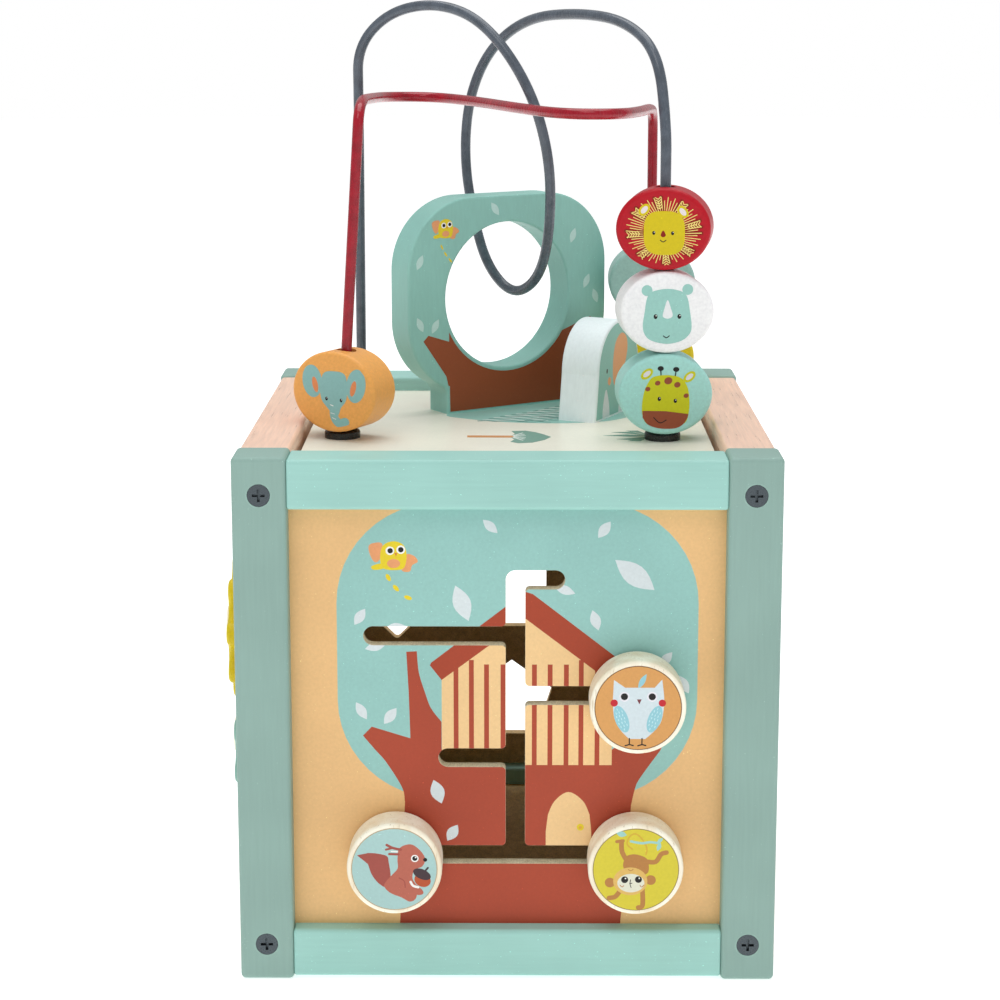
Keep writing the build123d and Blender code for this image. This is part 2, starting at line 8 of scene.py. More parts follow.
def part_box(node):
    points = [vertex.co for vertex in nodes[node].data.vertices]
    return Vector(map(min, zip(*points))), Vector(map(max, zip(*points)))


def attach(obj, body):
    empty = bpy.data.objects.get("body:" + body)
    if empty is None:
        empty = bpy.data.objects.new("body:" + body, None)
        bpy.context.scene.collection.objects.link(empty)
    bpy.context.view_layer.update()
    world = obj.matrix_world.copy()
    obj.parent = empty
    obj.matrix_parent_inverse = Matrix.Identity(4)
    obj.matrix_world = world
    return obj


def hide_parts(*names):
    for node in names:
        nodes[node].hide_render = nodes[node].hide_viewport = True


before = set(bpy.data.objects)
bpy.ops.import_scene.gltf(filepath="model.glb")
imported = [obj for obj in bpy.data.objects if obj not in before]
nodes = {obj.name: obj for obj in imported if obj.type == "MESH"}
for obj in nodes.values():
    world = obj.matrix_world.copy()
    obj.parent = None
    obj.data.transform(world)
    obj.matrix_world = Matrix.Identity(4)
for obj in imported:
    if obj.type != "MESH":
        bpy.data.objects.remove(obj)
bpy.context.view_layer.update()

MM = 0.001


# ---------------------------------------------------------------- Materials


def srgb(red, green, blue):
    """A display colour, 0 to 255, as the linear colour that a shader takes."""
    shares = [value / 255 for value in (red, green, blue)]
    linear = [v / 12.92 if v <= 0.04045 else ((v + 0.055) / 1.055) ** 2.4 for v in shares]
    return (*linear, 1.0)


def shade(colour, factor):
    """The same colour, darker or lighter."""
    return (*[min(1.0, value * factor) for value in colour[:3]], 1.0)


def blank(name):
    """A new node material and its shader."""
    material = bpy.data.materials.new(name)
    material.use_nodes = True
    return material, material.node_tree, material.node_tree.nodes["Principled BSDF"]


def noise(tree, scale, detail=3.0, stretch=(1, 1, 1)):
    """A noise texture in the piece's own metres; scale is in features per metre."""
    place = tree.nodes.new("ShaderNodeTexCoord")
    squeeze = tree.nodes.new("ShaderNodeMapping")
    squeeze.inputs["Scale"].default_value = stretch
    texture = tree.nodes.new("ShaderNodeTexNoise")
    texture.inputs["Scale"].default_value = scale
    texture.inputs["Detail"].default_value = detail
    tree.links.new(place.outputs["Object"], squeeze.inputs["Vector"])
    tree.links.new(squeeze.outputs["Vector"], texture.inputs["Vector"])
    return texture.outputs["Fac"]


def ramp(tree, value, stops):
    """A colour ramp over a value; stops are (position, colour)."""
    node = tree.nodes.new("ShaderNodeValToRGB")
    elements = node.color_ramp.elements
    while len(elements) < len(stops):
        elements.new(0.5)
    for element, (position, colour) in zip(elements, stops):
        element.position = position
        element.color = colour
    tree.links.new(value, node.inputs["Fac"])
    return node.outputs["Color"]


def blend(tree, factor, first, second, mode="MIX"):
    """Two colours mixed; the factor is a socket or a number."""
    node = tree.nodes.new("ShaderNodeMix")
    node.data_type = "RGBA"
    node.blend_type = mode
    for socket, value in ((node.inputs[0], factor), (node.inputs[6], first), (node.inputs[7], second)):
        if isinstance(value, bpy.types.NodeSocket):
            tree.links.new(value, socket)
        else:
            socket.default_value = value
    return node.outputs[2]


def scaled(tree, value, low, high):
    """A value from 0.3 to 0.7, which is where noise lies, brought to low to high."""
    node = tree.nodes.new("ShaderNodeMapRange")
    node.inputs["From Min"].default_value = 0.3
    node.inputs["From Max"].default_value = 0.7
    node.inputs["To Min"].default_value = low
    node.inputs["To Max"].default_value = high
    tree.links.new(value, node.inputs["Value"])
    return node.outputs["Result"]


def relief(tree, shader, height, strength, depth):
    """Bump from a height; depth is in metres."""
    node = tree.nodes.new("ShaderNodeBump")
    node.inputs["Strength"].default_value = strength
    node.inputs["Distance"].default_value = depth
    tree.links.new(height, node.inputs["Height"])
    tree.links.new(node.outputs["Normal"], shader.inputs["Normal"])


def edge_highlight_mask(tree, radius):
    """Painted highlight along the sharp edges of a piece, in broken patches: white where the bevelled normal
    turns away from the flat one.
    """
    rounded = tree.nodes.new("ShaderNodeBevel")
    rounded.samples = 4
    rounded.inputs["Radius"].default_value = radius
    flat = tree.nodes.new("ShaderNodeNewGeometry")
    facing = tree.nodes.new("ShaderNodeVectorMath")
    facing.operation = "DOT_PRODUCT"
    tree.links.new(rounded.outputs["Normal"], facing.inputs[0])
    tree.links.new(flat.outputs["Normal"], facing.inputs[1])
    edge = ramp(tree, facing.outputs["Value"], [(0.86, (1, 1, 1, 1)), (0.985, (0, 0, 0, 1))])
    patches = ramp(tree, noise(tree, 260, 3), [(0.4, (0.25, 0.25, 0.25, 1)), (0.6, (1, 1, 1, 1))])
    return blend(tree, 1.0, edge, patches, "MULTIPLY")


def paint(name, colour, grain=(1, 1, 1), contrast=0.05, rough=(0.38, 0.52), bump=0.25, flecks=0.0,
    edge_highlight=0.0):
    """Satin paint on wood: the fibres show through as fine streaks, with cloudy patches over them.
    flecks is the share of small pale specks where the paint is thin, and edge_highlight the width of a
    painted highlight along the sharp edges."""
    material, tree, shader = blank(name)
    fibre = noise(tree, 900, 4, grain)
    cloud = noise(tree, 28, 2)
    streaks = ramp(tree, fibre, [(0.3, shade(colour, 1 - contrast)), (0.7, shade(colour, 1 + contrast))])
    patches = ramp(tree, cloud, [(0.35, (0.94, 0.94, 0.94, 1)), (0.65, (1, 1, 1, 1))])
    result = blend(tree, 1.0, streaks, patches, "MULTIPLY")
    if flecks:
        specks = noise(tree, 1500, 1)
        edge = 0.78 - flecks
        mask = ramp(tree, specks, [(edge, (0, 0, 0, 1)), (edge + 0.03, (1, 1, 1, 1))])
        result = blend(tree, mask, result, shade(colour, 1.5))
    # painted highlight: the colour is lightened by 1.3 along the sharp edges, standing in for the light that
    # rounded edges catch
    if edge_highlight:
        result = blend(tree, edge_highlight_mask(tree, edge_highlight), result, shade(colour, 1.3))
    tree.links.new(result, shader.inputs["Base Color"])
    tree.links.new(scaled(tree, fibre, *rough), shader.inputs["Roughness"])
    shader.inputs["Specular IOR Level"].default_value = 0.25
    relief(tree, shader, fibre, bump, 0.0002)
    return material


def wood(name, light, dark, along=(1, 1, 0.06), rough=(0.45, 0.6)):
    """Bare wood with long fibres and short dark pores."""
    material, tree, shader = blank(name)
    figure = noise(tree, 160, 3, along)
    pores = noise(tree, 1400, 2, along)
    body = ramp(tree, figure, [(0.3, dark), (0.62, light)])
    mask = ramp(tree, pores, [(0.62, (0, 0, 0, 1)), (0.72, (1, 1, 1, 1))])
    result = blend(tree, mask, body, shade(dark, 0.8))
    tree.links.new(result, shader.inputs["Base Color"])
    tree.links.new(scaled(tree, figure, *rough), shader.inputs["Roughness"])
    relief(tree, shader, pores, 0.3, 0.00015)
    return material


def fibreboard(name, colour):
    """Pressed fibre, with short fibres lying every way."""
    material, tree, shader = blank(name)
    fibres = noise(tree, 1800, 5, (1, 0.4, 1))
    clumps = noise(tree, 300, 3)
    body = ramp(tree, fibres, [(0.3, shade(colour, 0.8)), (0.7, shade(colour, 1.15))])
    tint = ramp(tree, clumps, [(0.4, (0.88, 0.86, 0.82, 1)), (0.6, (1, 1, 1, 1))])
    tree.links.new(blend(tree, 1.0, body, tint, "MULTIPLY"), shader.inputs["Base Color"])
    tree.links.new(scaled(tree, clumps, 0.75, 0.9), shader.inputs["Roughness"])
    relief(tree, shader, fibres, 0.4, 0.0002)
    return material


def coated_wire(name, colour):
    """Plastic coating on bent steel: glossy, with slight ripples."""
    material, tree, shader = blank(name)
    ripple = noise(tree, 220, 2)
    scuff = noise(tree, 1700, 2, (1, 1, 0.3))
    body = ramp(tree, ripple, [(0.35, shade(colour, 0.86)), (0.65, shade(colour, 1.14))])
    mask = ramp(tree, scuff, [(0.7, (0, 0, 0, 1)), (0.78, (1, 1, 1, 1))])
    tree.links.new(blend(tree, mask, body, shade(colour, 1.7)), shader.inputs["Base Color"])
    tree.links.new(scaled(tree, scuff, 0.18, 0.34), shader.inputs["Roughness"])
    shader.inputs["Specular IOR Level"].default_value = 0.3
    shader.inputs["Coat Weight"].default_value = 0.25
    shader.inputs["Coat Roughness"].default_value = 0.12
    relief(tree, shader, ripple, 0.25, 0.0003)
    return material


def metal(name, colour, rough, metallic=1.0):
    """Plated steel with fine turning marks."""
    material, tree, shader = blank(name)
    marks = noise(tree, 1200, 3, (1, 1, 6))
    body = ramp(tree, marks, [(0.3, shade(colour, 0.7)), (0.7, shade(colour, 1.3))])
    tree.links.new(body, shader.inputs["Base Color"])
    tree.links.new(scaled(tree, marks, *rough), shader.inputs["Roughness"])
    shader.inputs["Metallic"].default_value = metallic
    relief(tree, shader, marks, 0.2, 0.0001)
    return material


def plastic(name, colour):
    """Moulded plastic with a faint orange peel."""
    material, tree, shader = blank(name)
    peel = noise(tree, 1500, 2)
    body = ramp(tree, peel, [(0.3, shade(colour, 0.7)), (0.7, shade(colour, 1.5))])
    tree.links.new(body, shader.inputs["Base Color"])
    tree.links.new(scaled(tree, peel, 0.22, 0.36), shader.inputs["Roughness"])
    relief(tree, shader, peel, 0.2, 0.0001)
    return material


inks = {}


def ink(colour):
    """Printed ink of one display colour, made once and shared: a faint screen texture and pinholes."""
    if colour not in inks:
        name = "ink_{:03d}_{:03d}_{:03d}".format(*colour)
        inks[colour] = paint(name, srgb(*colour), (1, 1, 1), 0.035, (0.36, 0.48), 0.12, 0.015)
    return inks[colour]


SAGE = srgb(143, 174, 165)
MINT = srgb(160, 208, 199)
PEACH = srgb(242, 205, 182)

UP_GRAIN = (1, 1, 0.05)
X_GRAIN = (0.05, 1, 1)
Y_GRAIN = (1, 0.05, 1)

# sage, mint, tree and arch paints end with the width of a painted highlight along their sharp edges
sage_paint = paint("sage_paint", SAGE, UP_GRAIN, 0.03, (0.42, 0.56), 0.18, 0.03, 0.0012)
mint_paint = paint("mint_paint", MINT, X_GRAIN, 0.025, (0.34, 0.48), 0.18, 0.03, 0.0012)
peach_paint = paint("peach_paint", PEACH, Y_GRAIN, 0.09, (0.26, 0.42), 0.6, 0.02)
tree_paint = paint("tree_paint", srgb(146, 198, 188), (1, 1, 0.2), 0.03, (0.4, 0.52), 0.2, 0.02, 0.001)
arch_paint = paint("arch_paint", srgb(238, 250, 252), (1, 1, 0.2), 0.03, (0.4, 0.52), 0.2, 0.04, 0.001)
bead_paints = {
    "giraffe_bead": srgb(168, 222, 214),
    "rhino_bead": srgb(248, 248, 250),
    "lion_bead": srgb(184, 16, 34),
    "yellow_bead": srgb(225, 205, 40),
    "green_bead": srgb(150, 188, 180),
    "elephant_bead": srgb(240, 172, 92),
}
gear_paints = {
    "yellow_gear": srgb(216, 196, 30),
    "teal_gear": srgb(143, 187, 176),
    "orange_gear": srgb(226, 150, 88),
}
beech = wood("beech", srgb(252, 247, 228), srgb(238, 222, 192))
board_core = fibreboard("board_core", srgb(238, 228, 200))
# Raw fibreboard tinted darker than board_core: partly the board's own brown, partly painted shade for the
# dark inside of the cube
painted_shade_board = fibreboard("painted_shade_board", srgb(224, 192, 140))
cream_board = paint("cream_board", srgb(236, 235, 220), (1, 1, 1), 0.03, (0.3, 0.42), 0.15, 0.01)
screw_black = metal("screw_black", (0.075, 0.09, 0.1, 1), (0.22, 0.42), 0.9)
steel = metal("steel", (0.6, 0.6, 0.6, 1), (0.25, 0.45))
cap_black = plastic("cap_black", (0.006, 0.006, 0.006, 1))
dark_coat = coated_wire("dark_coat", srgb(84, 92, 102))
red_coat = coated_wire("red_coat", srgb(154, 12, 34))


def dress(name, material):
    """Give a CAD node its finished material."""
    for place in nodes[name].material_slots:
        place.material = material


for name in nodes:
    if name.startswith("post_"):
        dress(name, sage_paint)
    elif name.startswith(("rail_front", "rail_back")):
        dress(name, mint_paint)
    elif name.startswith(("rail_left", "rail_right")):
        dress(name, peach_paint)
    elif name.endswith(("_knob", "_stem", "_retainer")) or name in (
        "rail_dowels",
        "gear_axles",
        "gear_spacers",
        "gear_nuts",
    ):
        dress(name, beech)
    elif name in bead_paints:
        dress(name, paint(name, bead_paints[name], (1, 1, 1), 0.06, (0.32, 0.46), 0.3, 0.02))
    elif name in gear_paints:
        dress(name, paint(name, gear_paints[name], (1, 1, 1), 0.05, (0.36, 0.5), 0.3, 0.01))
for name, material in (
    ("front_maze_panel", board_core),
    ("top_panel", cream_board),
    # The inner boards take the darker raw board, which carries painted shade for the inside of the cube
    ("back_sorter_panel", painted_shade_board),
    ("left_gear_panel", painted_shade_board),
    ("right_panel", painted_shade_board),
    ("sorter_door", painted_shade_board),
    ("floor_panel", painted_shade_board),
    ("tree_plate", tree_paint),
    ("elephant_arch", arch_paint),
    ("frame_screws", screw_black),
    ("top_screws", steel),
    ("door_pins", steel),
    ("wire_nuts", steel),
    ("wire_caps", cap_black),
):
    dress(name, material)


# ---------------------------------------------------------------- Outlines, in millimetres


def curve(*points, closed=False, steps=5):
    """Points along a smooth line through the given points."""
    count = len(points)
    spans = count if closed else count - 1
    result = []
    for i in range(spans):
        picked = [(i + k) % count if closed else min(max(i + k, 0), count - 1) for k in (-1, 0, 1, 2)]
        a, b, c, d = [Vector(points[k]) for k in picked]
        for step in range(steps):
            t = step / steps
            point = 0.5 * (2 * b + (c - a) * t + (2 * a - 5 * b + 4 * c - d) * t**2)
            point += 0.5 * (3 * b - a - 3 * c + d) * t**3
            result.append((point.x, point.y))
    if not closed:
        result.append(tuple(points[-1]))
    return result


def blob(*points):
    """A closed smooth outline through the given points."""
    return curve(*points, closed=True)


def arc(centre, radius, start, end, steps=24):
    """Points along an arc, from one angle to another, in degrees."""
    angles = [radians(start + (end - start) * k / steps) for k in range(steps + 1)]
    return [(centre[0] + radius * cos(a), centre[1] + radius * sin(a)) for a in angles]


def oval(centre, half_width, half_height, tilt=0.0, power=2.0, steps=40):
    """An ellipse, or a rounder box when power is over 2."""
    result = []
    turn = radians(tilt)
    for k in range(steps):
        a = tau * k / steps
        u = half_width * abs(cos(a)) ** (2 / power) * (1 if cos(a) >= 0 else -1)
        v = half_height * abs(sin(a)) ** (2 / power) * (1 if sin(a) >= 0 else -1)
        result.append((centre[0] + u * cos(turn) - v * sin(turn),
            centre[1] + u * sin(turn) + v * cos(turn)))
    return result


def dot(centre, radius, steps=24):
    return oval(centre, radius, radius, steps=steps)


def leaf(centre, length, width, tilt, steps=8):
    """Two equal arcs that meet in points."""
    upper = [(length * (k / steps - 0.5), width / 2 * sin(pi * k / steps)) for k in range(steps + 1)]
    lower = [(u, -v) for u, v in reversed(upper[1:-1])]
    turn = radians(tilt)
    return [
        (centre[0] + u * cos(turn) - v * sin(turn), centre[1] + u * sin(turn) + v * cos(turn))
        for u, v in upper + lower
    ]


def stroke(width, *points, smooth=True):
    """A line of even width with round ends."""
    line = [Vector(p) for p in (curve(*points) if smooth and len(points) > 2 else points)]
    left, right = [], []
    for i, here in enumerate(line):
        run = line[min(i + 1, len(line) - 1)] - line[max(i - 1, 0)]
        side = Vector((-run.y, run.x)).normalized() * width / 2
        left.append(tuple(here + side))
        right.append(tuple(here - side))
    first, last = line[0], line[-1]
    out = atan2(right[-1][1] - last.y, right[-1][0] - last.x)
    back = atan2(left[0][1] - first.y, left[0][0] - first.x)
    end_cap = [(last.x + width / 2 * cos(out + pi * k / 5), last.y + width / 2 * sin(out + pi * k / 5))
        for k in range(1, 5)]
    start_cap = [
        (first.x + width / 2 * cos(back + pi * k / 5), first.y + width / 2 * sin(back + pi * k / 5))
            for k in range(1, 5)
    ]
    return right + end_cap + left[::-1] + start_cap


def slot_outline(width, start, end, steps=12):
    """A round-ended slot between two centre points."""
    angle = atan2(end[1] - start[1], end[0] - start[0])
    result = []
    for centre, turn in ((start, angle + pi / 2), (end, angle - pi / 2)):
        for k in range(steps + 1):
            a = turn + pi * k / steps
            result.append((centre[0] + width / 2 * cos(a), centre[1] + width / 2 * sin(a)))
    return result


def round_box(left, bottom, right, top, radius):
    """A box with round corners."""
    result = []
    for u, v, start in (
        (right - radius, bottom + radius, -90),
        (right - radius, top - radius, 0),
        (left + radius, top - radius, 90),
        (left + radius, bottom + radius, 180),
    ):
        result += arc((u, v), radius, start, start + 90, 12)
    return result


def placed(shapes, offset, scale=1.0, tilt=0.0, flip=1):
    """The same shapes, turned, scaled, mirrored if flip is -1, and moved."""
    turn = radians(tilt)
    result = []
    for colour, outline in shapes:
        points = []
        for u, v in outline:
            u, v = flip * u * scale, v * scale
            points.append((offset[0] + u * cos(turn) - v * sin(turn),
                offset[1] + u * sin(turn) + v * cos(turn)))
        result.append((colour, points))
    return result


# ---------------------------------------------------------------- Printed films

HOLE = None
CLEAR = "clear"
FILM_LIFT = 0.02
FILM_TOP = 0.07
MERGE_DISTANCE = 1e-4


def signed_area(outline):
    return sum(a[0] * b[1] - b[0] * a[1] for a, b in zip(outline, outline[1:] + outline[:1])) / 2


def film(name, body, surface, shapes):
    """A thin printed layer on a flat surface. surface is (origin, u, v, out), unit vectors in the frame.
    Each shape is (colour, outline in mm), painted over the ones before it. The first shape is the ground:
    nothing shows outside it. CLEAR leaves the ground's own surface bare, and HOLE cuts through."""
    origin, across, up, out = surface
    corners, loops = [], []
    for _, outline in shapes:
        if signed_area(outline) < 0:
            outline = outline[::-1]
        loops.append(list(range(len(corners), len(corners) + len(outline))))
        corners += [Vector(point) for point in outline]
    points, _, triangles, _, _, owners = delaunay_2d_cdt(corners, [], loops, 1, MERGE_DISTANCE)
    kept = []
    for triangle, sources in zip(triangles, owners):
        if 0 in sources:
            colour = shapes[max(sources)][0]
            if colour not in (HOLE, CLEAR):
                kept.append((tuple(triangle), colour))
    used = sorted({index for triangle, _ in kept for index in triangle})
    order = {index: k for k, index in enumerate(used)}
    count = len(used)
    verts = []
    for lift in (FILM_TOP, FILM_LIFT):
        for index in used:
            u, v = points[index]
            verts.append(origin + (across * u + up * v + out * lift) * MM)
    colours = sorted({colour for _, colour in kept})
    faces, indices = [], []
    rims = {}
    for triangle, colour in kept:
        corner = [order[index] for index in triangle]
        faces += [corner, [k + count for k in reversed(corner)]]
        indices += [colours.index(colour)] * 2
        for a, b in zip(corner, corner[1:] + corner[:1]):
            if (b, a) in rims:
                del rims[(b, a)]
            else:
                rims[(a, b)] = colours.index(colour)
    for (a, b), index in rims.items():
        faces.append([b, a, a + count, b + count])
        indices.append(index)
    mesh = bpy.data.meshes.new(name)
    mesh.from_pydata(verts, [], faces)
    for colour in colours:
        mesh.materials.append(ink(colour))
    mesh.polygons.foreach_set("material_index", indices)
    mesh.update()
    piece = bpy.data.objects.new(name, mesh)
    bpy.context.scene.collection.objects.link(piece)
    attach(piece, body)
    return piece


def flat_face(name, toward):
    """The largest flat face of a CAD node on the side that toward points to.
    Gives (origin, u, v, out): out is its normal, v points up in it, and the origin is the frame's origin
    dropped onto the face."""
    areas, samples = {}, {}
    for face in nodes[name].data.polygons:
        if face.normal.dot(toward) > 0.2:
            depth = face.normal.dot(face.center)
            key = (*[round(c, 2) for c in face.normal], round(depth / MM))
            areas[key] = areas.get(key, 0) + face.area
            samples[key] = (face.normal.copy(), depth)
    normal, depth = samples[max(areas, key=areas.get)]
    rough_up = Vector((0, 0, 1)) if abs(normal.z) < 0.9 else Vector((0, 1, 0))
    up = (rough_up - normal * normal.dot(rough_up)).normalized()
    across = up.cross(normal)
    return normal * depth, across, up, normal


def face_centre(name, toward):
    """flat_face with its origin at the middle of the node."""
    origin, across, up, out = flat_face(name, toward)
    low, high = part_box(name)
    middle = (low + high) / 2
    return middle + out * out.dot(origin - middle), across, up, out


def face_foot(name, toward):
    """flat_face with its origin at the left end of the node's foot."""
    origin, across, up, out = flat_face(name, toward)
    depth = out.dot(origin)
    low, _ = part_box(name)
    feet = [v.co for v in nodes[name].data.vertices
        if v.co.z < low.z + 0.1 * MM and abs(out.dot(v.co) - depth) < 2 * MM]
    start = min(feet, key=lambda co: across.dot(co))
    return start + out * (depth - out.dot(start)), across, up, out


FRONT, BACK = Vector((0, -1, 0)), Vector((0, 1, 0))
LEFT, RIGHT, TOP = Vector((-1, 0, 0)), Vector((1, 0, 0)), Vector((0, 0, 1))


# ---------------------------------------------------------------- Pictures

PALE = (214, 224, 226)
BLACK = (32, 30, 30)
WHITE = (244, 244, 240)
CROWN = (150, 198, 191)
TRUNK = (172, 72, 48)
ROOF = (168, 68, 42)
WALL = (240, 202, 146)
GROUND = (234, 190, 132)
YELLOW = (232, 208, 44)
WING = (232, 160, 110)
TEAL = (140, 188, 186)


def bird():
    """A small yellow bird, about 10 mm tall, centred on its body."""
    return [
        (WING, blob((-4.0, 4.6), (-7.2, 4.9), (-9.0, 3.6), (-8.4, 0.2), (-6.6, -2.4), (-4.6, -0.6))),
        (WING, blob((4.4, 0.4), (7.4, 0.2), (9.0, -2.0), (6.9, -3.5), (6.0, -5.8), (3.0, -5.2))),
        (YELLOW, blob((-4.4, -2.8), (-8.0, -3.8), (-7.2, -5.2), (-3.4, -4.6))),
        (YELLOW, blob((0.2, 5.6), (3.7, 4.2), (4.9, 0.4), (3.9, -4.4), (0.2, -5.3), (-4.0, -4.4),
            (-4.8, 0.2), (-3.5, 4.2))),
        (WING, oval((0.1, -2.8), 2.4, 1.7)),
        (WHITE, dot((-1.2, 2.0), 1.6)),
        (WHITE, dot((2.8, 2.4), 1.6)),
        (BLACK, dot((-1.1, 2.0), 1.0)),
        (BLACK, dot((2.8, 2.4), 1.0)),
        ((214, 130, 60), [(0.4, 1.2), (1.6, 1.2), (1.0, -0.1)]),
    ]


# The maze: X of its upright shaft, Z of its rows, and the round where a row leaves the shaft.
SHAFT = 3.0
LOWEST, FLOOR_ROW, OWL_ROW, WINDOW_ROW, HIGHEST = 46.9, 84.8, 108.9, 131.7, 153.0
SLOT_WIDTH = 7.3
CORNER_AT = 3.6
CORNER_ROUND = 1.65


def front_picture():
    """The tree house, with the maze slots cut out of it. X and Z of the frame, in mm."""
    side, bottom, top = 79.95, 19.6, 180.4
    shapes = [
        (GROUND, [(-side, bottom), (side, bottom), (side, top), (-side, top)]),
        (CROWN, round_box(-62.8, 69.0, 70.2, 182.0, 38.0)),
    ]
    leaves = (
        ((-6.3, 173.1), 7.3, 3.4, -43),
        ((35.4, 171.9), 7.6, 3.9, 54),
        ((46.7, 154.9), 18.4, 7.9, -38),
        ((-16.7, 144.1), 14.3, 6.6, -70),
        ((21.0, 149.2), 8.3, 3.4, -20),
        ((32.4, 137.7), 8.0, 3.9, -73),
        ((-54.3, 138.9), 7.3, 3.7, 57),
        ((-41.4, 134.8), 8.0, 3.5, 10),
        ((-48.5, 127.7), 8.3, 3.5, 15),
        ((58.5, 122.9), 7.0, 3.5, 50),
        ((65.1, 113.3), 8.0, 3.8, -60),
        ((-54.1, 102.9), 7.7, 3.6, -59),
        ((-43.4, 100.9), 7.7, 3.9, 53),
    )
    shapes += [(PALE, leaf(*one)) for one in leaves]
    trunk = curve((-40.4, 19.0), (-38.4, 63.6), (-38.3, 68.0), (-39.3, 73.3), (-45.0, 82.9),
        (-49.0, 87.7), (-53.6, 93.3))
    trunk += [(-50.3, 96.8), (-36.0, 92.3), (-36.5, 110.0), (-37.3, 125.6)]
    trunk += curve((-33.4, 125.8), (-32.7, 117.7), (-30.5, 110.1), (-28.3, 104.0), (-24.4, 98.7))
    trunk += [(-24.4, 88.0), (38.8, 88.0), (46.0, 93.0), (57.0, 99.0), (61.0, 96.5)]
    trunk += curve((56.8, 87.7), (49.3, 76.8), (47.5, 72.4), (46.2, 66.2), (46.0, 63.6), (42.5, 19.0))
    shapes += [
        (TRUNK, trunk),
        (PALE, leaf((-26.0, 71.5), 9.7, 5.2, -72)),
        (PALE, leaf((-20.5, 55.4), 7.4, 4.2, 58)),
        (WALL, [(-24.3, 82.0), (38.8, 82.0), (38.8, 114.4), (6.8, 139.0), (-24.3, 115.6)]),
    ]
    for x in (-19.0, -13.3, -7.7, -1.6, 10.0, 15.8, 21.8, 27.3, 33.3):
        reach = 122.5 if x in (-19.0, -13.3, 27.3, 33.3) else 120.8
        shapes.append((TRUNK, [(x - 0.9, 81.5), (x + 0.9, 81.5), (x + 0.9, reach), (x - 0.9, reach)]))
    roof = [(-28.6, 120.4), (-28.2, 121.4), (6.6, 148.5), (9.4, 147.6), (43.0, 121.4), (43.2, 120.2)]
    roof += [(38.8, 113.5), (6.8, 138.2), (-24.3, 114.8)]
    door = [(14.4, 50.3), (14.4, 56.0)] + curve((15.2, 62.7), (17.7, 68.0), (22.8, 71.5), (28.2, 68.0),
        (30.7, 62.7))
    door += [(31.4, 56.0), (31.4, 50.3)]
    shapes += [
        (ROOF, roof),
        (WALL, door),
        (YELLOW, dot((27.3, 57.7), 1.35)),
        ((228, 176, 60), dot((27.3, 57.6), 0.6)),
    ]
    shapes += placed(bird(), (-41.8, 161.9))
    for centre, tilt in (((-43.7, 153.8), -62), ((-40.9, 149.8), -50), ((-36.5, 146.2), -20)):
        shapes.append((YELLOW, oval(centre, 1.5, 0.8, tilt, steps=16)))
    cuts = (
        ((SHAFT, LOWEST), (SHAFT, HIGHEST)),
        ((SHAFT, HIGHEST), (17.6, HIGHEST)),
        ((-49.5, WINDOW_ROW), (SHAFT, WINDOW_ROW)),
        ((SHAFT, OWL_ROW), (47.6, OWL_ROW)),
        ((-22.0, FLOOR_ROW), (SHAFT, FLOOR_ROW)),
        ((-41.6, LOWEST), (47.4, LOWEST)),
    )
    shapes += [(HOLE, slot_outline(SLOT_WIDTH, *ends)) for ends in cuts]
    junctions = ((HIGHEST, 1, -1), (WINDOW_ROW, -1, 1), (WINDOW_ROW, -1, -1), (OWL_ROW, 1, 1))
    junctions += ((OWL_ROW, 1, -1), (FLOOR_ROW, -1, 1), (FLOOR_ROW, -1, -1), (LOWEST, -1, 1), (LOWEST, 1, 1))
    for z, right, up in junctions:
        u, v = SHAFT + CORNER_AT * right, z + CORNER_AT * up
        bend = [
            (u + CORNER_ROUND * right * (1 - sin(a)), v + CORNER_ROUND * up * (1 - cos(a)))
            for a in (0, pi / 8, pi / 4, pi * 3 / 8, pi / 2)
        ]
        shapes.append((HOLE, [(u - 0.1 * right, v - 0.1 * up), *bend]))
    return shapes


def owl():
    feather = (196, 232, 238)
    blue = (150, 205, 216)
    body = [(-8.9, 10.6), (-4.8, 7.7), (5.9, 7.7), (8.6, 10.8)]
    body += curve((9.2, 6.0), (9.4, 1.7), (8.5, -4.7), (6.0, -8.6), (2.7, -11.7))
    body += curve((-3.2, -11.7), (-6.4, -8.3), (-8.6, -4.0), (-9.2, 1.5), (-9.1, 6.0))
    shapes = [
        ((120, 84, 50), dot((0, 0), 15.9, 64)),
        ((218, 160, 94), dot((0, 0), 15.6, 64)),
        (blue, leaf((1.4, 10.1), 6.4, 2.0, 62)),
        ((212, 226, 231), body),
    ]
    for side in (-1, 1):
        shapes.append((blue, oval((6.0 * side, -4.2), 5.3, 2.4, 90 - 20 * side)))
        for row in range(-3, 4):
            for column in (-1, 0, 1):
                if abs(row) < 3 or column == 0:
                    u, v = 1.35 * row, 1.15 * column + 0.3 * (row % 2)
                    tilt = radians(90 - 20 * side)
                    centre = (6.0 * side + u * cos(tilt) - v * sin(tilt),
                        -4.2 + u * sin(tilt) + v * cos(tilt))
                    shapes.append((feather, oval(centre, 0.5, 0.17, 90 - 20 * side, steps=8)))
        foot = -0.8 + 2.3 * side
        shapes += [
            (BLACK, stroke(0.45, (foot, -11.5), (foot, -13.9))),
            (BLACK, stroke(0.5, (foot - 1.5, -14.3), (foot, -13.8), (foot + 1.4, -14.2), smooth=False)),
            ((198, 40, 52), dot((8.75 * side, 1.9), 1.35)),
            ((232, 232, 238), dot((5.05 * side, 4.3), 1.9)),
            (BLACK, dot((5.05 * side, 4.3), 1.3)),
        ]
    shapes.append(((120, 60, 66), [(-0.5, 3.3), (1.2, 3.3), (0.4, 1.4)]))
    return shapes


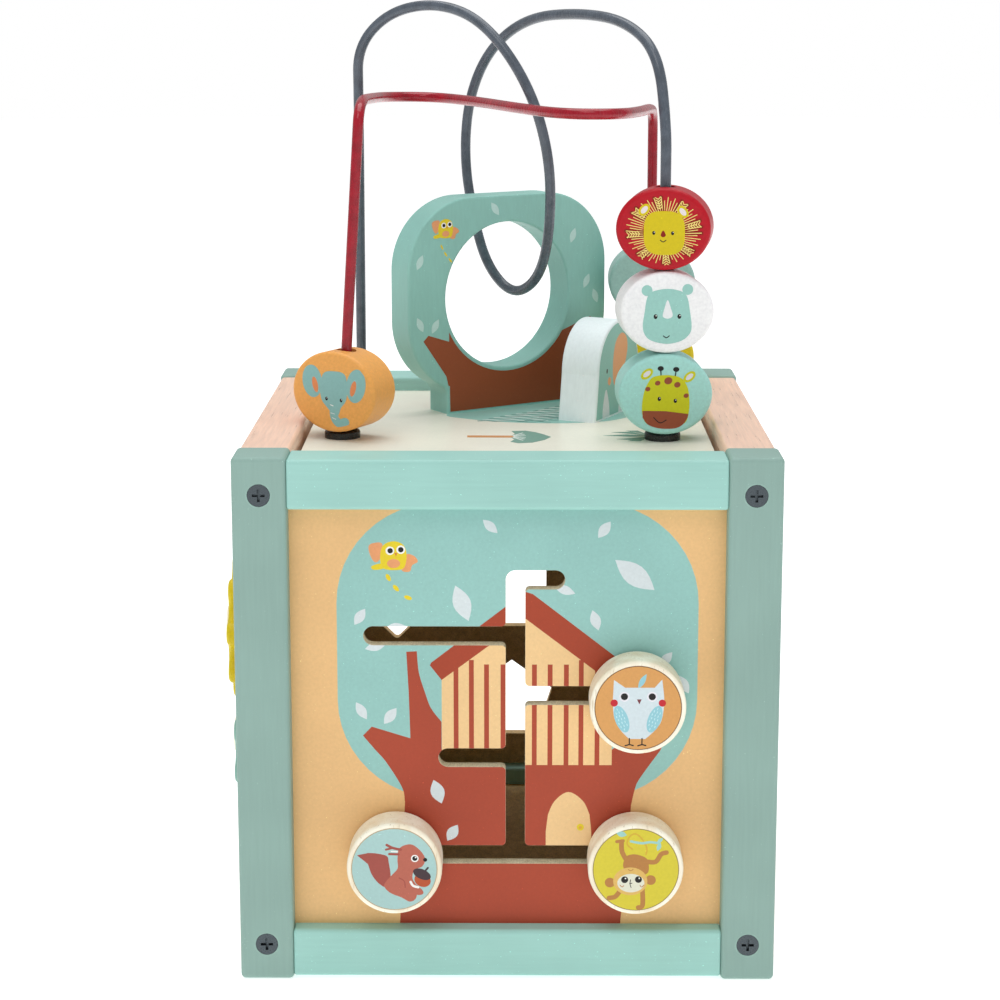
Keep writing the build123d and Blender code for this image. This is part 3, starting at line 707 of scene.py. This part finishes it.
def squirrel():
    fur, dark_fur = (186, 104, 86), (164, 82, 72)
    return [
        ((186, 160, 122), dot((0, 0), 15.9, 64)),
        ((170, 206, 203), dot((0, 0), 15.6, 64)),
        (dark_fur, [(-13.7, 5.4)] + curve((-9.5, 6.3), (-6.4, 6.1), (-2.7, 5.1), (-2.0, 2.5),
            (-1.4, -1.7), (-1.6, -5.0), (-3.5, -6.9), (-5.3, -5.9), (-6.9, -4.3), (-8.5, -1.7),
            (-9.7, 2.0))),
        (fur, blob((2.0, 8.2), (6.1, 9.7), (9.5, 7.4), (11.4, 4.2), (10.4, 1.2), (7.4, -0.3), (6.7, -3.5),
            (8.0, -6.1), (8.4, -8.7), (7.8, -11.5), (5.6, -12.6), (2.6, -11.0), (-1.7, -9.1),
            (-3.8, -6.2), (-1.2, -2.6), (1.2, 0.3), (1.2, 4.0))),
        (fur, blob((7.6, -5.8), (10.2, -7.9), (10.6, -9.5), (8.6, -10.0), (7.2, -8.4))),
        (dark_fur, stroke(1.0, (2.4, 7.6), (-0.6, 8.3), (-2.7, 9.4))),
        (dark_fur, stroke(0.8, (-0.4, 8.3), (-3.0, 7.6))),
        (dark_fur, stroke(0.9, (1.6, 5.8), (-1.8, 5.9))),
        (WHITE, stroke(0.5, (1.2, 6.8), (-1.0, 6.9))),
        (dark_fur, stroke(0.45, (1.8, -3.4), (3.6, -4.6), (4.0, -7.0))),
        (WHITE, stroke(0.9, (6.0, -4.9), (6.9, -6.4), (8.8, -7.0))),
        ((185, 85, 50), oval((10.4, -4.2), 3.1, 2.6, -25)),
        ((70, 55, 60), oval((10.2, -1.9), 3.5, 1.9, -25)),
        ((70, 55, 60), stroke(0.7, (11.6, -0.4), (12.4, 0.6))),
        (WHITE, dot((7.6, 4.2), 1.4)),
        (BLACK, dot((7.6, 4.2), 0.95)),
        (WHITE, dot((7.9, 4.6), 0.3, 10)),
        (BLACK, dot((11.4, 3.7), 0.75, 14)),
    ]


def monkey():
    fur, tan, cream, sky = (186, 130, 70), (226, 186, 104), (228, 228, 208), (160, 210, 204)
    return [
        ((150, 132, 70), dot((0, 0), 15.9, 64)),
        ((218, 204, 62), dot((0, 0), 15.6, 64)),
        ((214, 176, 60), stroke(0.6, (3.7, 5.9), (3.9, 8.6), (2.1, 12.0), (-0.3, 13.9), (-2.4, 12.8),
            (-3.3, 10.0), (-1.4, 8.0))),
        (sky, leaf((-5.4, 13.8), 4.0, 2.2, -12)),
        (sky, stroke(0.9, (-1.9, 11.0), (2.0, 10.3), (5.4, 10.7), (8.6, 10.2))),
        (sky, leaf((8.4, 8.9), 3.4, 1.6, 70)),
        (sky, leaf((8.8, 11.4), 2.8, 1.4, 40)),
        (fur, stroke(1.8, (-3.9, 4.4), (-5.2, 7.2), (-5.4, 10.6))),
        (fur, stroke(1.3, (-7.1, 10.9), (-4.8, 11.2))),
        (fur, stroke(1.8, (3.7, 3.2), (7.2, 3.1), (9.2, 6.0), (11.2, 6.7))),
        (fur, stroke(1.8, (-5.4, -7.6), (-7.4, -10.4), (-9.8, -11.0))),
        (fur, stroke(1.8, (2.5, -7.6), (2.6, -13.8), (1.0, -14.7))),
        (fur, blob((-4.5, 0.6), (-3.9, 4.8), (-1.3, 6.0), (1.5, 5.6), (3.9, 4.4), (4.7, 2.4), (4.3, -1.3),
            (0.0, -2.4))),
        (fur, dot((-9.5, -5.0), 1.9)),
        (fur, dot((5.5, -4.0), 1.9)),
        (tan, oval((-2.0, -4.5), 6.3, 5.4)),
        (cream, oval((-1.8, -5.2), 5.0, 3.6)),
        (BLACK, dot((-4.1, -3.9), 1.3)),
        (BLACK, dot((1.0, -3.8), 1.3)),
        (WHITE, dot((-3.8, -3.4), 0.3, 10)),
        (WHITE, dot((1.3, -3.3), 0.3, 10)),
        (BLACK, stroke(0.3, (-1.9, -3.9), (-2.1, -5.4), (-1.7, -6.9))),
        (BLACK, stroke(0.3, (-2.2, -5.4), (-1.4, -5.2))),
        (fur, stroke(0.3, (-5.8, -6.0), (-5.0, -6.7), (-4.4, -6.2))),
        (fur, stroke(0.3, (1.6, -6.1), (2.2, -6.7), (3.0, -6.0))),
        (fur, stroke(0.3, (-2.8, 0.1), (-1.9, -0.4), (-1.0, 0.1))),
    ]


def face_parts(eye_left, eye_right, radius):
    """Two black eyes with a small light in each."""
    shapes = []
    for u, v in (eye_left, eye_right):
        shapes.append((BLACK, oval((u, v), radius * 0.8, radius, steps=16)))
        shapes.append((WHITE, dot((u + radius * 0.25, v + radius * 0.35), radius * 0.25, 8)))
    return shapes


BEAD_GROUND = oval((0, 0), 16.2, 13.7, steps=64)


def lion():
    dark, cream, yellow = (140, 30, 16), (246, 226, 132), (218, 196, 24)
    shapes = [(CLEAR, BEAD_GROUND)]
    rays = 66
    for k in range(rays):
        a = tau * (k + 0.35) / rays
        tuft = k % 8 in (1, 2, 3)
        outer = 14.4 if k % 2 else 12.9
        base = (0.4 + 8.2 * cos(a), -0.9 + 8.2 * sin(a))
        tip = (0.3 + outer * cos(a), -0.4 + outer * 0.88 * sin(a))
        if tuft:
            shapes.append((dark, stroke(1.5, base, tip)))
        shapes.append((cream, stroke(0.3, base, tip)))
    for k in range(8):
        a = tau * (k * 8 + 2.35) / rays
        for step in range(5):
            reach = 9.4 + 1.0 * step
            root = (0.4 + reach * cos(a), -0.7 + reach * 0.92 * sin(a))
            for side in (-1, 1):
                turn = a + side * 0.9
                shapes.append((cream, stroke(0.32, root, (root[0] + 1.3 * cos(turn),
                    root[1] + 1.3 * sin(turn)))))
    for side, centre in ((-1, (-7.2, 7.4)), (1, (7.5, 6.8))):
        shapes.append((yellow, oval(centre, 2.6, 1.8, 90 + side * 40)))
        shapes.append(((236, 226, 226), oval(centre, 1.7, 1.0, 90 + side * 40, steps=20)))
    shapes.append((yellow, oval((0.5, -1.4), 7.9, 8.4, power=3.0)))
    shapes += face_parts((-3.5, -1.4), (3.7, -1.4), 0.75)
    shapes += [
        (dark, blob((0.1, -0.4), (1.1, -2.2), (0.1, -3.0), (-0.9, -2.2))),
        (BLACK, stroke(0.35, (-1.0, -4.1), (0.1, -4.8), (1.2, -4.1))),
    ]
    return shapes


def rhino():
    mint = (158, 208, 199)
    head = blob((-6.1, 8.1), (0.0, 9.2), (5.7, 8.0), (7.7, 5.5), (8.6, 0.9), (9.4, -5.2), (8.6, -8.4),
        (5.4, -11.0), (-0.2, -12.1), (-6.1, -10.8), (-8.7, -8.4), (-9.5, -4.9), (-8.8, 0.4), (-8.0, 5.5))
    return [
        (CLEAR, BEAD_GROUND),
        (mint, dot((-8.0, 8.6), 2.1)),
        (mint, dot((7.7, 8.9), 2.1)),
        (mint, head),
        ((238, 240, 242), blob((0.0, 4.9), (1.3, 1.6), (2.0, -1.3), (0.1, -2.3), (-1.8, -1.4),
            (-1.2, 1.6))),
        *face_parts((-4.6, -1.5), (4.6, -1.5), 0.95),
        (BLACK, stroke(0.4, (-1.5, -9.0), (-0.35, -9.7), (0.8, -9.0))),
    ]


def giraffe():
    lime, brown = (204, 204, 28), (152, 78, 52)
    head = blob((-4.7, 7.1), (1.0, 7.7), (5.9, 6.5), (8.4, 2.9), (9.2, -2.0), (9.0, -7.2), (7.6, -11.0),
        (3.0, -13.0), (-3.0, -12.9), (-7.6, -11.0), (-9.2, -6.4), (-8.7, 0.0), (-7.1, 4.4))
    muzzle = [(-9.0, -6.2), (0.0, -6.4), (8.9, -7.6)]
    muzzle += curve((8.6, -8.9), (6.9, -11.6), (3.7, -13.2), (-2.2, -13.2), (-6.7, -11.7), (-8.9, -8.9))
    shapes = [(CLEAR, BEAD_GROUND)]
    for side, centre, horn in ((-1, (-7.4, 8.2), (-2.1, 10.3)), (1, (9.1, 7.0), (3.9, 9.9))):
        shapes += [
            (lime, oval(centre, 2.7, 1.7, -40 * side if side < 0 else 40)),
            ((226, 222, 228), oval(centre, 1.7, 0.9, -40 * side if side < 0 else 40, steps=20)),
            (BLACK, stroke(0.45, (horn[0] * 0.9, 6.6), horn)),
            (BLACK, oval(horn, 1.2, 0.95, steps=18)),
        ]
    shapes += [(lime, head), (brown, muzzle)]
    for centre, radius in (((-3.2, 4.6), 0.95), ((0.9, 5.5), 1.4), ((4.4, 3.9), 1.1), ((-7.0, 2.3), 0.9),
        ((7.9, -0.4), 0.9)):
        shapes.append((brown, oval(centre, radius * 1.15, radius, 20, steps=18)))
    shapes += face_parts((-2.5, -1.6), (3.7, -2.4), 0.85)
    shapes.append((BLACK, stroke(0.4, (-4.6, -8.9), (-2.2, -11.0), (0.3, -9.9))))
    return shapes


def elephant():
    orange = (228, 140, 88)
    head = blob((-4.0, 7.2), (0.6, 8.2), (5.2, 7.2), (6.4, 2.0), (5.8, -3.0), (3.6, -6.0), (2.4, -9.0),
        (0.0, -8.4), (-2.6, -6.0), (-5.0, -3.0), (-5.6, 2.0))
    return [
        (CLEAR, BEAD_GROUND),
        (TEAL, oval((-9.1, 3.8), 4.3, 6.4, 8)),
        (TEAL, oval((10.2, 3.0), 4.2, 6.6, -8)),
        (orange, oval((-7.8, 2.5), 1.2, 3.1, 14)),
        (orange, oval((9.0, 1.9), 1.2, 3.1, -14)),
        (TEAL, head),
        (TEAL, stroke(3.5, (0.4, -6.0), (0.7, -9.6), (2.8, -12.0), (5.6, -11.4))),
        *face_parts((-2.7, -2.7), (3.7, -3.0), 0.75),
        (WHITE, stroke(0.3, (-1.0, -5.0), (0.2, -5.4))),
        (PALE, stroke(0.3, (-0.8, -8.2), (0.8, -8.5))),
        (PALE, stroke(0.3, (-0.2, -10.0), (1.4, -10.6))),
    ]


def sprig():
    """A plain leaf for the two beads without a face."""
    return [
        (CLEAR, BEAD_GROUND),
        (PALE, leaf((0, 0), 18.0, 7.4, 62)),
        (CROWN, stroke(0.5, (-3.6, -6.8), (0.0, 0.0), (3.4, 6.4))),
    ]


def tree_picture():
    """The standing tree: trunk, leaves and a bird. t along the plate and height from the foot's left end."""
    hole, radius = (30.0, 48.0), 30.4
    corner = 28.8
    silhouette = [(59.8, 0.8)] + arc((49.5, 38.5), corner, -69.0, 0) + arc((49.5, 59.5), corner, 0, 90)
    silhouette += arc((11.7, 59.5), corner, 90, 180) + arc((11.7, 38.5), corner, 180, 248.6) + [(1.2, 0.8)]
    trunk = [(1.4, 0.9), (1.2, 9.0), (-0.5, 15.9), (-11.4, 31.3), (-9.0, 33.6), (0.9, 30.3), (0.9, 38.1)]
    trunk += arc(hole, radius + 1.8, 199.5, 327.5)
    trunk += [(71.7, 35.6), (73.4, 33.2), (61.0, 17.0), (59.7, 9.0), (59.4, 0.9)]
    shapes = [(CLEAR, silhouette), ((152, 78, 46), trunk)]
    leaves = (
        ((23.4, 84.0), -55),
        ((62.5, 70.8), 70),
        ((69.6, 51.0), 65),
        ((74.2, 44.3), -70),
        ((-12.9, 63.9), 65),
        ((-12.9, 38.3), -65),
        ((-5.7, 37.2), 60),
    )
    shapes += [((190, 222, 216), leaf(centre, 6.6, 3.0, tilt)) for centre, tilt in leaves]
    shapes += placed(bird(), (-0.6, 77.0), 0.72)
    for centre, tilt in (((-2.4, 69.6), -64), ((-0.6, 66.6), -56), ((1.6, 64.0), -50)):
        shapes.append((YELLOW, oval(centre, 1.2, 0.4, tilt, steps=12)))
    shapes.append((HOLE, dot(hole, radius + 1.1, 72)))
    return shapes


def arch_picture():
    """An elephant whose legs are the arch's foot. t along the arch and height from the foot's left end."""
    teal, skin = (140, 194, 184), (226, 164, 116)
    silhouette = [(47.6, 0.8), (44.8, 19.0)]
    silhouette += [(24.5 + 20.3 * cos(radians(a)), 19.0 + 19.2 * sin(radians(a))) for a in range(6, 175, 6)]
    silhouette += [(4.2, 19.0), (1.4, 0.8)]
    return [
        (teal, silhouette),
        (skin, blob((20.0, 12.6), (24.6, 14.2), (30.0, 19.0), (33.4, 26.0), (32.0, 31.6), (26.6, 33.6),
            (21.0, 30.6), (18.4, 24.0), (18.2, 16.6))),
        (skin, dot((14.6, 15.1), 1.7)),
        (BLACK, oval((12.1, 19.6), 0.7, 1.0)),
        (PALE, curve((7.5, 0.4), (8.2, 6.0), (11.2, 12.2), (14.2, 6.0), (15.0, 0.4))),
        (PALE, curve((24.0, 0.4), (25.4, 5.6), (30.0, 9.6), (34.6, 5.6), (36.0, 0.4))),
        (PALE, curve((41.6, 0.9), (42.0, 5.0), (44.6, 9.6), (45.8, 9.0), (47.2, 0.9))),
    ]


def top_picture():
    """A pond at the tree's foot, a small tree and a water plant. X and Y of the frame, in mm."""
    water, deep, ripple = (150, 200, 190), (84, 138, 130), (226, 236, 230)
    shapes = [(CLEAR, [(-76, -80), (76, -80), (76, 80), (-76, 80)])]
    shapes.append((water, blob((-25.5, 22.5), (-17.0, 13.5), (-3.0, 7.0), (12.0, 4.0), (27.0, 4.5),
        (42.0, 10.0), (52.0, 24.0), (50.0, 44.0), (34.0, 60.0), (10.0, 58.0), (-12.0, 44.0))))
    for k in range(9):
        y = 8.6 + 4.6 * k
        start, end = -12 + 4.6 * k, 14 + 3.6 * k
        for colour, offset, width in ((deep, 0.0, 1.3), (ripple, 1.9, 1.2)):
            line = [(start + (end - start) * j / 8 + offset, y + offset + 0.8 * sin(j * 2.1 + k))
                for j in range(9)]
            shapes.append((colour, stroke(width, *line)))
    for k in range(4):
        start = 4.0 + 3.0 * k
        line = [(start + 2.2 * j, 6.4 + 3.4 * k + 0.7 * sin(j * 1.9)) for j in range(7)]
        shapes.append((deep, stroke(0.9, *line)))
    stem = (206, 146, 92)
    sage = (120, 160, 146)
    shapes += [
        (sage, [(1.4, -13.0), (7.0, -12.2), (11.0, -15.4), (14.0, -19.6), (17.0, -25.0), (14.4, -31.0),
            (9.6, -36.4), (4.0, -37.6), (1.0, -34.8), (2.6, -30.0), (0.6, -24.6), (2.8, -19.0)]),
        (stem, [(-16.0, -22.2), (2.4, -22.6), (2.4, -26.4), (-16.0, -26.0)]),
    ]
    for angle in (-52, -30, -12, 12, 30, 52):
        a = radians(angle)
        shapes.append((ripple, stroke(0.7, (1.0 + 1.6 * cos(a), -24.5 + 2.0 * sin(a)),
            (4.2 + 2.6 * cos(a), -24.5 + 9.5 * sin(a)))))
    plant = (112, 152, 138)
    for tip, bend in (((37.5, -22.4), 1.0), ((41.0, -15.4), 3.0), ((42.6, -29.4), -3.0),
        ((46.6, -33.0), -3.4), ((47.0, -12.0), 3.4)):
        root = (56.5, -23.0)
        middle = ((root[0] + tip[0]) / 2, (root[1] + tip[1]) / 2 + bend)
        shapes.append((plant, [root] + curve((middle[0], middle[1] + 2.2), tip,
            steps=2) + [(middle[0], middle[1] - 2.2)]))
    return shapes


def meadow(sky, hill, near, sun):
    """Two hills and a sun on a side board, 160 mm wide, for the boards that the photograph doesn't show."""
    side, bottom, top = 79.9, 19.6, 180.4
    shapes = [
        (sky, [(-side, bottom), (side, bottom), (side, top), (-side, top)]),
        (YELLOW, dot(sun, 11.0, 40)),
        (hill, [(-side, bottom), (side, bottom), (side, 62.0)] + curve((60.0, 70.0), (30.0, 82.0),
            (-4.0, 78.0), (-40.0, 60.0), (-79.0, 66.0))),
        (near, [(-side, bottom), (side, bottom), (side, 34.0)] + curve((44.0, 44.0), (4.0, 38.0),
            (-34.0, 50.0), (-79.0, 42.0))),
    ]
    for k, (u, v, tilt) in enumerate(((-62, 34, 60), (-30, 30, 110), (8, 28, 70), (40, 33, 120),
        (66, 27, 80), (-70, 96, 40), (66, 100, -50))):
        shapes.append((PALE if k % 2 else CROWN, leaf((u, v), 9.0, 4.2, tilt)))
    for u, v in ((-44, 166), (-10, 170), (60, 142)):
        shapes.append((WHITE, blob((u - 12, v - 3), (u - 9, v + 2), (u - 3, v + 3.4), (u + 1, v + 5.4),
            (u + 6, v + 3.6), (u + 11, v + 0.6), (u + 12, v - 3), (u, v - 3.8))))
    return shapes


# Each gear's axle, as Y and Z in the frame.
GEAR_CENTRES = {"yellow": (-28.0, 118.2), "teal": (-13.0, 67.26), "orange": (23.69, 130.3)}
SPACER_HOLE = 7.7


def polygon(centre, radius, sides, start):
    """A regular polygon with its first corner at the angle start, in degrees."""
    return [(centre[0] + radius * cos(radians(start) + tau * k / sides),
        centre[1] + radius * sin(radians(start) + tau * k / sides)) for k in range(sides)]


def sorter_picture():
    """Coloured frames around the sorter's holes. u is the frame's -X, seen from behind, and v is Z."""
    side, bottom, top = 79.9, 19.6, 180.4
    left, middle, right = 50.2, -1.6, -52.0
    upper, lower = 99.5, 49.0
    shapes = [
        (GROUND, [(-side, bottom), (side, bottom), (side, top), (-side, top)]),
        (CROWN, oval((0, 74.0), 77.0, 52.0, power=3.6, steps=72)),
    ]
    cuts = (
        ((226, 120, 84), oval((left, upper), 24.6, 24.6, power=1.1, steps=48),
            polygon((left, upper), 21.9, 4, 0)),
        (YELLOW, round_box(middle - 20, upper - 20, middle + 20, upper + 20, 6),
            round_box(middle - 15.6, upper - 15.6, middle + 15.6, upper + 15.6, 4)),
        ((190, 56, 62), polygon((right, upper), 26.4, 3, 90), polygon((right, upper), 19.6, 3, 90)),
        ((112, 156, 146), polygon((left, lower), 21.4, 6, 0), polygon((left, lower), 17.6, 6, 0)),
        (PALE, polygon((middle, lower), 23.6, 5, 90), polygon((middle, lower), 19.5, 5, 90)),
        (ROOF, dot((right, lower), 20.0, 64), dot((right, lower), 15.7, 64)),
    )
    for colour, rim, hole in cuts:
        shapes += [(colour, rim), (HOLE, hole)]
    for k, (u, v, tilt) in enumerate(((-58, 150, 40), (-30, 162, 110), (2, 152, 65), (34, 164, 120),
        (60, 148, 70), (-70, 134, 30), (18, 138, 20))):
        shapes.append((PALE if k % 2 else CROWN, leaf((u, v), 11.0, 4.8, tilt)))
    return shapes


def gear_print(centre, rim, petal):
    """A plain flower on a gear's face."""
    shapes = [(CLEAR, dot(centre, 22.5, 64)), (rim, dot(centre, 20.5, 64)), (CLEAR, dot(centre, 19.5, 64))]
    for k in range(9):
        a = tau * k / 9
        middle = (centre[0] + 13.4 * cos(a), centre[1] + 13.4 * sin(a))
        shapes.append((petal, leaf(middle, 9.6, 5.0, k * 40)))
    shapes.append((HOLE, dot(centre, 4.4, 32)))
    return shapes


def cut_axles(shapes):
    """Room for the gears' spacers on the left board, where u is the frame's -Y."""
    return shapes + [(HOLE, dot((-y, z), SPACER_HOLE, 32)) for y, z in GEAR_CENTRES.values()]


film("front_print", "cube", flat_face("front_maze_panel", FRONT), front_picture())
film("back_print", "cube", flat_face("back_sorter_panel", BACK), sorter_picture())
MEADOW_COLOURS = (236, 196, 140), (148, 190, 172), (120, 162, 148)
side_board = meadow(*MEADOW_COLOURS, (46, 146))
film("left_print", "cube", flat_face("left_gear_panel", LEFT), cut_axles(side_board))
right_board = meadow(*MEADOW_COLOURS, (-56, 150))
# The door: the opening in the right board, its leaf, and the finger hole in it. Y and Z of the frame.
door_gap = round_box(-51.1, 43.9, 51.1, 156.1, 0.1)
door_edge = round_box(-49.6, 45.4, 46.8, 154.6, 0.6)
FINGER_HOLE = (-32.0, 100.0)
right_face = flat_face("right_panel", RIGHT)
film("right_print", "cube", right_face, right_board + [(HOLE, door_gap)])
door_picture = [((228, 176, 120), door_edge), *right_board[1:]]
door_picture += [(TRUNK, dot(FINGER_HOLE, 12.0, 48)), (HOLE, dot(FINGER_HOLE, 9.3, 48))]
film("door_print", "door", right_face, door_picture)
film("top_print", "cube", flat_face("top_panel", TOP), top_picture())

# The two standing plates: which way each faces, and how wide its foot is.
TREE_FRONT, TREE_FOOT = Vector((sin(radians(33)), -cos(radians(33)), 0)), 61.0
ARCH_FRONT, ARCH_FOOT = Vector((0.90, -0.43, 0)), 49.0
for name, picture, front, foot in (
    ("tree_plate", tree_picture(), TREE_FRONT, TREE_FOOT),
    ("elephant_arch", arch_picture(), ARCH_FRONT, ARCH_FOOT),
):
    mirrored = placed(picture, (foot, 0), flip=-1)
    film(name + "_print", "cube", face_foot(name, front), picture)
    film(name + "_back_print", "cube", face_foot(name, -front), mirrored)

for name, picture in (("owl", owl()), ("squirrel", squirrel()), ("monkey", monkey())):
    film(name + "_print", name, face_centre(name + "_knob", FRONT), picture)
for name, picture in (
    ("giraffe", giraffe()),
    ("rhino", rhino()),
    ("lion", lion()),
    ("elephant", elephant()),
    ("yellow", sprig()),
    ("green", sprig()),
):
    bead = name + "_bead"
    film(name + "_print", name, face_centre(bead, FRONT), picture)
    film(name + "_back_print", name, face_centre(bead, BACK), picture)
for name, rim, petal in (
    ("yellow", (224, 140, 60), (246, 232, 140)),
    ("teal", PALE, (206, 228, 222)),
    ("orange", (240, 214, 150), (246, 220, 170)),
):
    y, z = GEAR_CENTRES[name]
    gear_face = flat_face(name + "_gear", LEFT)
    film(name + "_gear_print", name + "_wheel", gear_face, gear_print((-y, z), rim, petal))


# ---------------------------------------------------------------- Bead wires

WIRE_RADIUS = 2.1


def bent_wire(name, material, route):
    """A smooth round wire along a route in mm, in place of the CAD wire."""
    data = bpy.data.curves.new(name, "CURVE")
    data.dimensions = "3D"
    data.bevel_depth = WIRE_RADIUS * MM
    data.bevel_resolution = 6
    data.resolution_u = 10
    data.use_fill_caps = True
    spline = data.splines.new("NURBS")
    spline.points.add(len(route) - 1)
    for point, place in zip(spline.points, route):
        point.co = (*[value * MM for value in place], 1)
    spline.order_u = 3
    spline.use_endpoint_u = True
    data.materials.append(material)
    wire = bpy.data.objects.new(name + "_coated", data)
    bpy.context.scene.collection.objects.link(wire)
    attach(wire, "cube")
    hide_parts(name)
    return wire


dark_route = [
    (-63, 60, 181),
    (-63, 60, 296),
    (-63, 60, 322),
    (-63, 57, 343),
    (-49, 50, 357.5),
    (-28, 38, 361),
    (-9, 22, 353),
    (8.5, 12, 328.5),
    (17, 12, 299),
    (17, 20, 268),
    (12.5, 35, 247.5),
    (2, 50, 239),
    (-9, 61, 250),
    (-15, 69, 270),
    (-19, 73, 295),
    (-17, 72, 321),
    (-8, 65, 342),
    (8, 47, 355),
    (29, 18, 357),
    (46, -6, 354),
    (57.5, -23, 342),
    (60.5, -28, 314),
    (60.5, -28, 296),
    (60.5, -28, 181),
]
red_route = [
    (-65, -25, 181),
    (-65, -25, 198),
    (-58.1, -25, 306),
    (-57, -25, 324),
    (-56, 20, 323),
    (-52, 58, 322),
    (-32, 68, 321.5),
    (-14, 40, 321),
    (4, -8, 320.5),
    (20, -42, 320),
    (42, -44, 320),
    (52, -4, 319),
    (58, 40, 318),
    (61, 64, 316),
    (61, 64, 300),
    (61, 64, 181),
]
bent_wire("dark_wire", dark_coat, dark_route)
bent_wire("red_wire", red_coat, red_route)


# ---------------------------------------------------------------- Stage, light and camera

floor_mesh = bpy.data.meshes.new("floor")
FLOOR_RADIUS, FLOOR_HEIGHT, FLOOR_SIDES = 6.0, -0.0004, 96
angles = [tau * k / FLOOR_SIDES for k in range(FLOOR_SIDES)]
ring = [(FLOOR_RADIUS * cos(a), FLOOR_RADIUS * sin(a), FLOOR_HEIGHT) for a in angles]
floor_mesh.from_pydata(ring, [], [list(range(FLOOR_SIDES))])
floor = bpy.data.objects.new("floor", floor_mesh)
bpy.context.scene.collection.objects.link(floor)
floor_paper = paint("floor_paper", (0.9, 0.9, 0.9, 1), (1, 1, 1), 0.01, (0.6, 0.7), 0.05)
floor_shader = floor_paper.node_tree.nodes["Principled BSDF"]
floor_shader.inputs["Emission Color"].default_value = (1, 1, 1, 1)
floor_shader.inputs["Emission Strength"].default_value = 0.62
floor_mesh.materials.append(floor_paper)

scene = bpy.context.scene
scene.view_settings.view_transform = "Standard"

world = bpy.data.worlds.new("studio")
scene.world = world
world.use_nodes = True
sky = world.node_tree
glow = sky.nodes["Background"]
glow.inputs["Strength"].default_value = 0.46
glow.inputs["Color"].default_value = (1, 1, 1, 1)
white = sky.nodes.new("ShaderNodeBackground")
white.inputs["Strength"].default_value = 1.0
white.inputs["Color"].default_value = (1, 1, 1, 1)
path = sky.nodes.new("ShaderNodeLightPath")
choice = sky.nodes.new("ShaderNodeMixShader")
sky.links.new(path.outputs["Is Camera Ray"], choice.inputs["Fac"])
sky.links.new(glow.outputs["Background"], choice.inputs[1])
sky.links.new(white.outputs["Background"], choice.inputs[2])
sky.links.new(choice.outputs["Shader"], sky.nodes["World Output"].inputs["Surface"])


def softbox(name, place, aim, size, power):
    """A square area light that points at aim."""
    data = bpy.data.lights.new(name, "AREA")
    data.shape = "RECTANGLE"
    data.size, data.size_y = size
    data.energy = power
    lamp = bpy.data.objects.new(name, data)
    lamp.location = place
    lamp.rotation_euler = (Vector(aim) - Vector(place)).to_track_quat("-Z", "Y").to_euler()
    scene.collection.objects.link(lamp)


middle = (0, 0, 0.16)
softbox("key", (-0.4, -1.3, 1.9), middle, (1.2, 1.0), 9)
softbox("fill", (1.2, -1.6, 0.9), middle, (1.2, 1.2), 1.5)
softbox("overhead", (0, 0.3, 1.9), middle, (1.6, 1.6), 22)

camera_data = bpy.data.cameras.new("camera")
camera_data.sensor_width = 36
camera_data.lens = 81.36  # focal length in mm, fitted to the cube's corners
camera_data.shift_y = -0.10
camera_data.clip_start = 0.05
camera = bpy.data.objects.new("camera", camera_data)
camera.location = (0.00177, -0.8968, 0.3643)
camera.rotation_euler = (radians(90 - 10.18), 0, radians(0.32))
scene.collection.objects.link(camera)
scene.camera = camera
